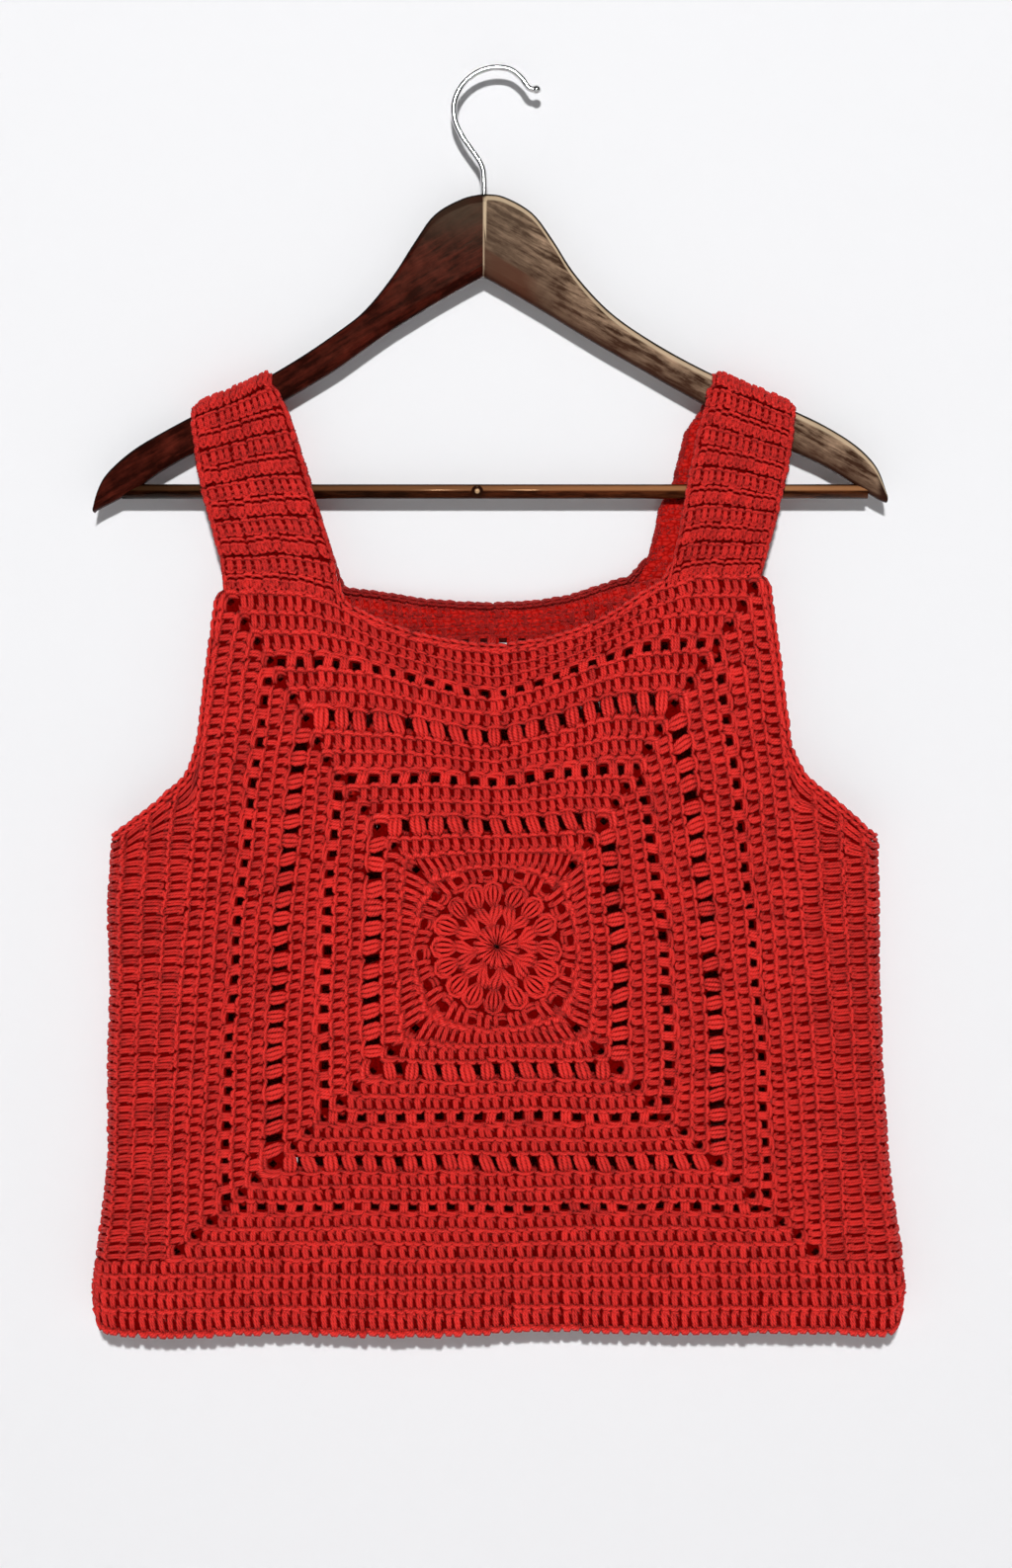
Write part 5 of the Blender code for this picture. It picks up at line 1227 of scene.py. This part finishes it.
def strap_place(name):
    """Places points of a strap's cells: shares from the outer to the inner edge, rows up, over and down."""
    arm = LEFT_ARM if name == "left" else RIGHT_ARM
    arm = smooth_line([(row[0] * MM, row[1] * MM, 0.0) for row in arm], 2)

    def edge_x(face, z, across):
        return strap_edge(name, face, z, 1) * (1 - across) + strap_edge(name, face, z, 2) * across

    def one_face(face, across, row, out):
        low, high = NECK[face]
        start, end = (-1, low) if name == "left" else (1, high)
        base_x, base_z = lay(face, 0, EDGE + 0.15 * MM, start + (end - start) * np.clip(across, 0, 1))
        # the strap's top follows the arm, a little higher at its outer edge and lower at both rims
        z = base_z + 0.1
        for _ in range(8):
            x = edge_x(face, z, across)
            z = np.interp(abs(x - JOINT_X), [p.x for p in arm], [p.y for p in arm])
            z = z + 0.5 * MM + STRAP_STAND[name] * (1 - across) ** 2
        z = z - INNER_DROP * np.clip((across - 1 + INNER_RIM) / INNER_RIM, 0, 1.1) ** 2
        z = z - OUTER_DROP * np.clip((OUTER_RIM - across) / OUTER_RIM, 0, 1.1) ** 2
        crown_x, shoulder = x, z - CLOTH_ROUND
        share = np.clip(row / UP_ROWS, 0, 1)
        z = base_z + (shoulder - base_z) * share
        x = edge_x(face, z, across) + (base_x - edge_x(face, base_z, across)) * (1 - share) ** 2
        turn = np.clip((row - UP_ROWS) / (OVER_ROWS / 2), 0, 1) * math.pi / 2
        groove = abs((row + 1) % 2 - 1)
        relief = -GROOVE_DEEP * np.exp(-(groove / GROOVE_WIDE) ** 2)
        relief = relief + SWELL * np.sin(np.pi * np.clip(groove, 0, 1))
        round_out = CLOTH_ROUND + STRAP_WALL + out + relief * np.clip(row, 0, 1)
        flat_y = half_depth(np.minimum(z, shoulder)) - STRAP_WALL - CLOTH_ROUND
        over = row > UP_ROWS
        x = np.where(over, crown_x, x)
        y = np.where(over, flat_y + round_out * np.cos(turn), flat_y + round_out)
        return x, face * y, np.where(over, shoulder + round_out * np.sin(turn), z)

    def place(cell, u, v, out):
        a0, a1, row0, row1 = cell.T
        across = a0 + (a1 - a0) * u
        row = row0 + (row1 - row0) * v
        front = one_face(FRONT, across, row, out)
        back = one_face(BACK, across, STRAP_ROWS - row, out)
        return tuple(np.where(row < STRAP_ROWS / 2, f, b) for f, b in zip(front, back))
    return place


post_row = stitch(
    4.7, 12.0,
    ([(-0.1, 3.2, -0.9), (1.1, 1.0, 0.2), (3.4, 0.8, 0.2), (4.8, 3.0, -0.8)], (0.85, 1.05, 1.05, 0.85)),
    ([(1.7, 0.6, -0.6), (1.8, 4.0, 0.0), (1.5, 7.4, 0.0), (1.1, 10.2, -0.7)], (0.9, 1.05, 1.0, 0.9)),
    ([(3.0, 0.8, -0.5), (3.2, 4.2, 0.2), (2.8, 7.6, 0.15), (2.4, 10.4, -0.6)], (0.9, 1.05, 1.0, 0.9)),
    ([(-0.5, 4.8, -1.1), (1.3, 6.1, 0.2), (3.5, 5.7, 0.2), (5.2, 4.4, -1.1)], (0.75, 0.9, 0.9, 0.75)),
    ([(-0.6, 9.0, -0.9), (1.2, 10.4, 0.4), (3.3, 10.3, 0.4), (5.2, 8.9, -0.9)], (0.85, 1.15, 1.15, 0.85)))
loop_row = stitch(
    4.7, 12.0,
    ([(0.2, 5.8, -0.8), (0.4, 3.0, 0.1), (1.7, 0.7, 0.25), (3.6, 1.1, 0.1), (4.6, 3.6, -0.8)],
     (1.0, 1.15, 1.15, 1.15, 0.9)),
    ([(1.6, 1.8, -0.6), (1.7, 4.6, 0.0), (1.2, 7.4, -0.3)], (0.9, 1.05, 0.9)),
    ([(3.0, 2.0, -0.4), (3.2, 4.6, 0.15), (2.6, 7.4, 0.0)], (0.9, 1.05, 0.9)),
    ([(-0.7, 5.9, -1.0), (1.2, 7.3, 0.25), (3.5, 7.1, 0.25), (5.3, 5.8, -1.0)], (0.85, 1.1, 1.1, 0.85)),
    ([(-0.7, 9.2, -0.9), (1.2, 10.8, 0.45), (3.5, 10.6, 0.45), (5.3, 9.1, -0.9)], (0.9, 1.2, 1.2, 0.9)))
turning_loop = stitch(
    4.4, 6.0,
    ([(1.2, -0.4, -0.8), (2.9, 1.6, 0.0), (3.0, 4.0, 0.0), (1.4, 6.4, -0.8)], (0.9, 1.1, 1.1, 0.9)),
    ([(3.2, -0.6, -1.0), (1.6, 1.8, -0.3), (1.6, 4.2, -0.3), (3.2, 6.6, -1.0)], (0.9, 1.05, 1.05, 0.9)))


def strap_ground(name, replaced):
    """A strap's ground, up the front, over the arm and down the back."""
    shares = np.linspace(0.0, 1.0, STRAP_STITCHES + 1)
    rows = [ground_row(strap_place(name), [(a, a, row, row) for a in shares])
            for row in np.linspace(0, STRAP_ROWS, 4 * STRAP_ROWS + 1)]
    return woven(name + "_strap_ground", rows, replaced)


def strap_rows(name):
    """Rows of loops and of posts in turn, with turning loops up both edges."""
    order = 1 if name == "left" else -1
    stops = STITCHED_FROM + STITCHED * np.arange(STRAP_STITCHES + 1) / STRAP_STITCHES
    cells = np.array([(*pair[::order], row, row + 1) for row in range(STRAP_ROWS)
                      for pair in zip(stops, stops[1:])])
    edges = [(low, high, row + half, row + half + 0.5) for row in range(STRAP_ROWS)
             for low, high in ((-0.035, 0.05), (0.95, 1.035)) for half in (0.0, 0.5)]
    loops = (cells[:, 2] % 2 < 1) == (cells[:, 2] < UP_ROWS + 1)
    return [(loop_row, cells[loops], 0.0), (post_row, cells[~loops], 0.0),
            (turning_loop, np.array(edges), -0.1)]


strap_left_ground = strap_ground("left", ["strap_left"])
strap_right_ground = strap_ground("right", ["strap_right"])
strap_left_stitches = crocheted("left_strap_stitches", strap_rows("left"), strap_place("left"), 51)
strap_right_stitches = crocheted("right_strap_stitches", strap_rows("right"), strap_place("right"), 52)

# ---- neck and armhole edgings --------------------------------------------------------------------
# A round of slip stitches binds each open edge: two strands lie side by side like a plait, along
# the neck between the straps, and from each shoulder down under the arm and up to the other one.
SLIP_PITCH = 5.4 * MM
EDGE_IN = 1.1 * MM               # the edging's middle lies half the cloth's thickness in
NECK_STATIONS, NECK_CLIMB = 19, (6.0 * MM, 12.0 * MM)
slip_stitch = stitch(
    5.4, 4.2,
    ([(-0.9, 1.0, -0.4), (1.2, 0.6, 0.5), (3.8, 1.0, 0.5), (6.2, 2.0, -0.3)], (0.75, 1.15, 1.15, 0.75)),
    ([(-0.9, 3.2, -0.4), (1.2, 3.6, 0.5), (3.8, 3.2, 0.5), (6.2, 2.2, -0.3)], (0.75, 1.15, 1.15, 0.75)),
    ([(-0.6, 2.0, -1.3), (1.4, 1.2, -1.7), (3.8, 1.2, -1.7), (6.0, 2.0, -1.3)], 1.0),
    ([(-0.6, 2.2, -1.3), (1.4, 3.1, -1.7), (3.8, 3.1, -1.7), (6.0, 2.2, -1.3)], 1.0))


def beside(path, k, way):
    """A path's point set aside by half the edging's width, further where the path turns."""
    before, after = neighbours(path, k)
    before, after = path[k] - before, after - path[k]
    turn = 1.0
    if before.length and after.length:
        turn = math.sqrt(max(0.25, (1.0 + before.normalized().dot(after.normalized())) / 2))
    return path[k] + way * ((EDGING_WIDTH / 2 + EDGING_GAP) / turn)


def neck_path(face):
    """Middle line of the neck's edging, with the cloth's outward and upward directions.

    Its two ends run a little way up the straps' inner edges.
    """
    low, high = NECK[face]
    outward = Vector((0, face, 0))
    path = []
    for t in np.linspace(low + 0.01, high - 0.01, NECK_STATIONS):
        x, z = lay(face, 0, EDGE, t)
        path.append(Vector((x, face * (half_depth(z) - EDGE_IN), z)))
    lines = []
    for k in range(len(path)):
        before, after = neighbours(path, k)
        along = (after - before).normalized()
        up = Vector((-along.z, 0.0, along.x)).normalized()
        lines.append((beside(path, k, up), outward, up))
    for name, end, toward in (("left", 0, 1.0), ("right", -1, -1.0)):
        climb = []
        for rise in NECK_CLIMB:
            spot = lines[end][0] + Vector((0.0, 0.0, rise))
            spot.x = float(strap_edge(name, face, spot.z, 2)) + toward * 0.6 * MM
            climb.append((spot, outward, Vector((toward, 0.0, 0.3)).normalized()))
        lines = climb[::-1] + lines if end == 0 else lines + climb
    return lines


def armhole_path(side):
    """Middle line of an armhole's edging, with the cloth's outward and open directions."""
    place = side_place(side)
    parts = []
    for face in (FRONT, BACK):
        line = []
        for t in np.linspace(0.985, ARMHOLE_START[side] + 0.005, 12):
            x, z = lay(face, 3 if side < 0 else 1, EDGE, t if side < 0 else -t)
            line.append(Vector([float(value) for value in hung(face, x, z, -EDGE_IN)]))
        for share in (0.02, 0.05, 0.09, *np.linspace(0.125, 1.0, 8)):
            cell = np.array([(face, 1.0, 1.0, share, share)])
            spot = np.ravel(place(cell, np.zeros(1), np.zeros(1), np.full(1, -EDGE_IN)))
            line.append(Vector([float(value) for value in spot]))
        parts.append(line)
    path = parts[0] + parts[1][::-1][1:]
    fold = float(fold_x(side, path[len(path) // 2].z)) * side - side * FOLD_ROUND
    lines = []
    for k, spot in enumerate(path):
        before, after = neighbours(path, k)
        normal = Vector((side * max(0.0, side * (spot.x - fold)), spot.y, 0.0)).normalized()
        way = (after - before).normalized().cross(normal) * side
        if way.z < -0.3 or (abs(way.z) <= 0.3 and way.x * side < 0):
            way = -way
        lines.append((beside(path, k, way), normal, way))
    # both ends are tucked in where the strap starts
    for end in (0, -1):
        spot, normal, way = lines[end]
        spot = spot - way * 2.4 * MM + Vector((0.0, 0.0, 2.6 * MM))
        tuck = [(spot, normal, (way + Vector((0, 0, 1))).normalized())]
        lines = tuck + lines if end == 0 else lines + tuck
    return lines


def unit(rows):
    """Directions of rows, each one long."""
    return rows / np.linalg.norm(rows, axis=-1, keepdims=True)


def edging(name, lines, seed, replaced):
    """Slip stitches in a row along a path of (point, outward, open way)."""
    spots, outs, ways = (np.array([tuple(line[n]) for line in lines]) for n in range(3))
    reach = np.concatenate([[0.0], np.cumsum(np.linalg.norm(np.diff(spots, axis=0), axis=1))])
    total = reach[-1]
    ends = unit(np.gradient(spots, axis=0))

    def place(cell, u, v, out):
        start, end = cell.T
        at = start + (end - start) * u
        spot, normal, way = (np.stack([np.interp(at, reach, column) for column in table.T], 1)
                             for table in (spots, outs, ways))
        beyond = at - np.clip(at, 0, total)
        past = np.where((at < 0)[:, None], ends[0], ends[-1]) * beyond[:, None]
        thin = 0.55 + 0.45 * np.clip(np.minimum(at, total - at) / (8.0 * MM), 0.0, 1.0)
        point = spot + past + unit(way) * ((v - 0.5) * EDGING_WIDTH * thin)[:, None]
        return tuple((point + unit(normal) * ((out + 0.55 * MM) * thin)[:, None]).T)

    stops = total * np.arange(round(total / SLIP_PITCH) + 1) / round(total / SLIP_PITCH)
    piece = crocheted(name, [(slip_stitch, np.stack([stops[:-1], stops[1:]], 1), 0.0)], place, seed)
    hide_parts(*replaced)
    return piece


neck_front = edging("front_neck_edging", neck_path(FRONT), 61, ["neck_edging_front"])
neck_back = edging("back_neck_edging", neck_path(BACK), 62, ["neck_edging_back"])
arm_left_edging = edging("left_armhole_edging", armhole_path(-1), 63, ["armhole_edging_left"])
arm_right_edging = edging("right_armhole_edging", armhole_path(1), 64, ["armhole_edging_right"])
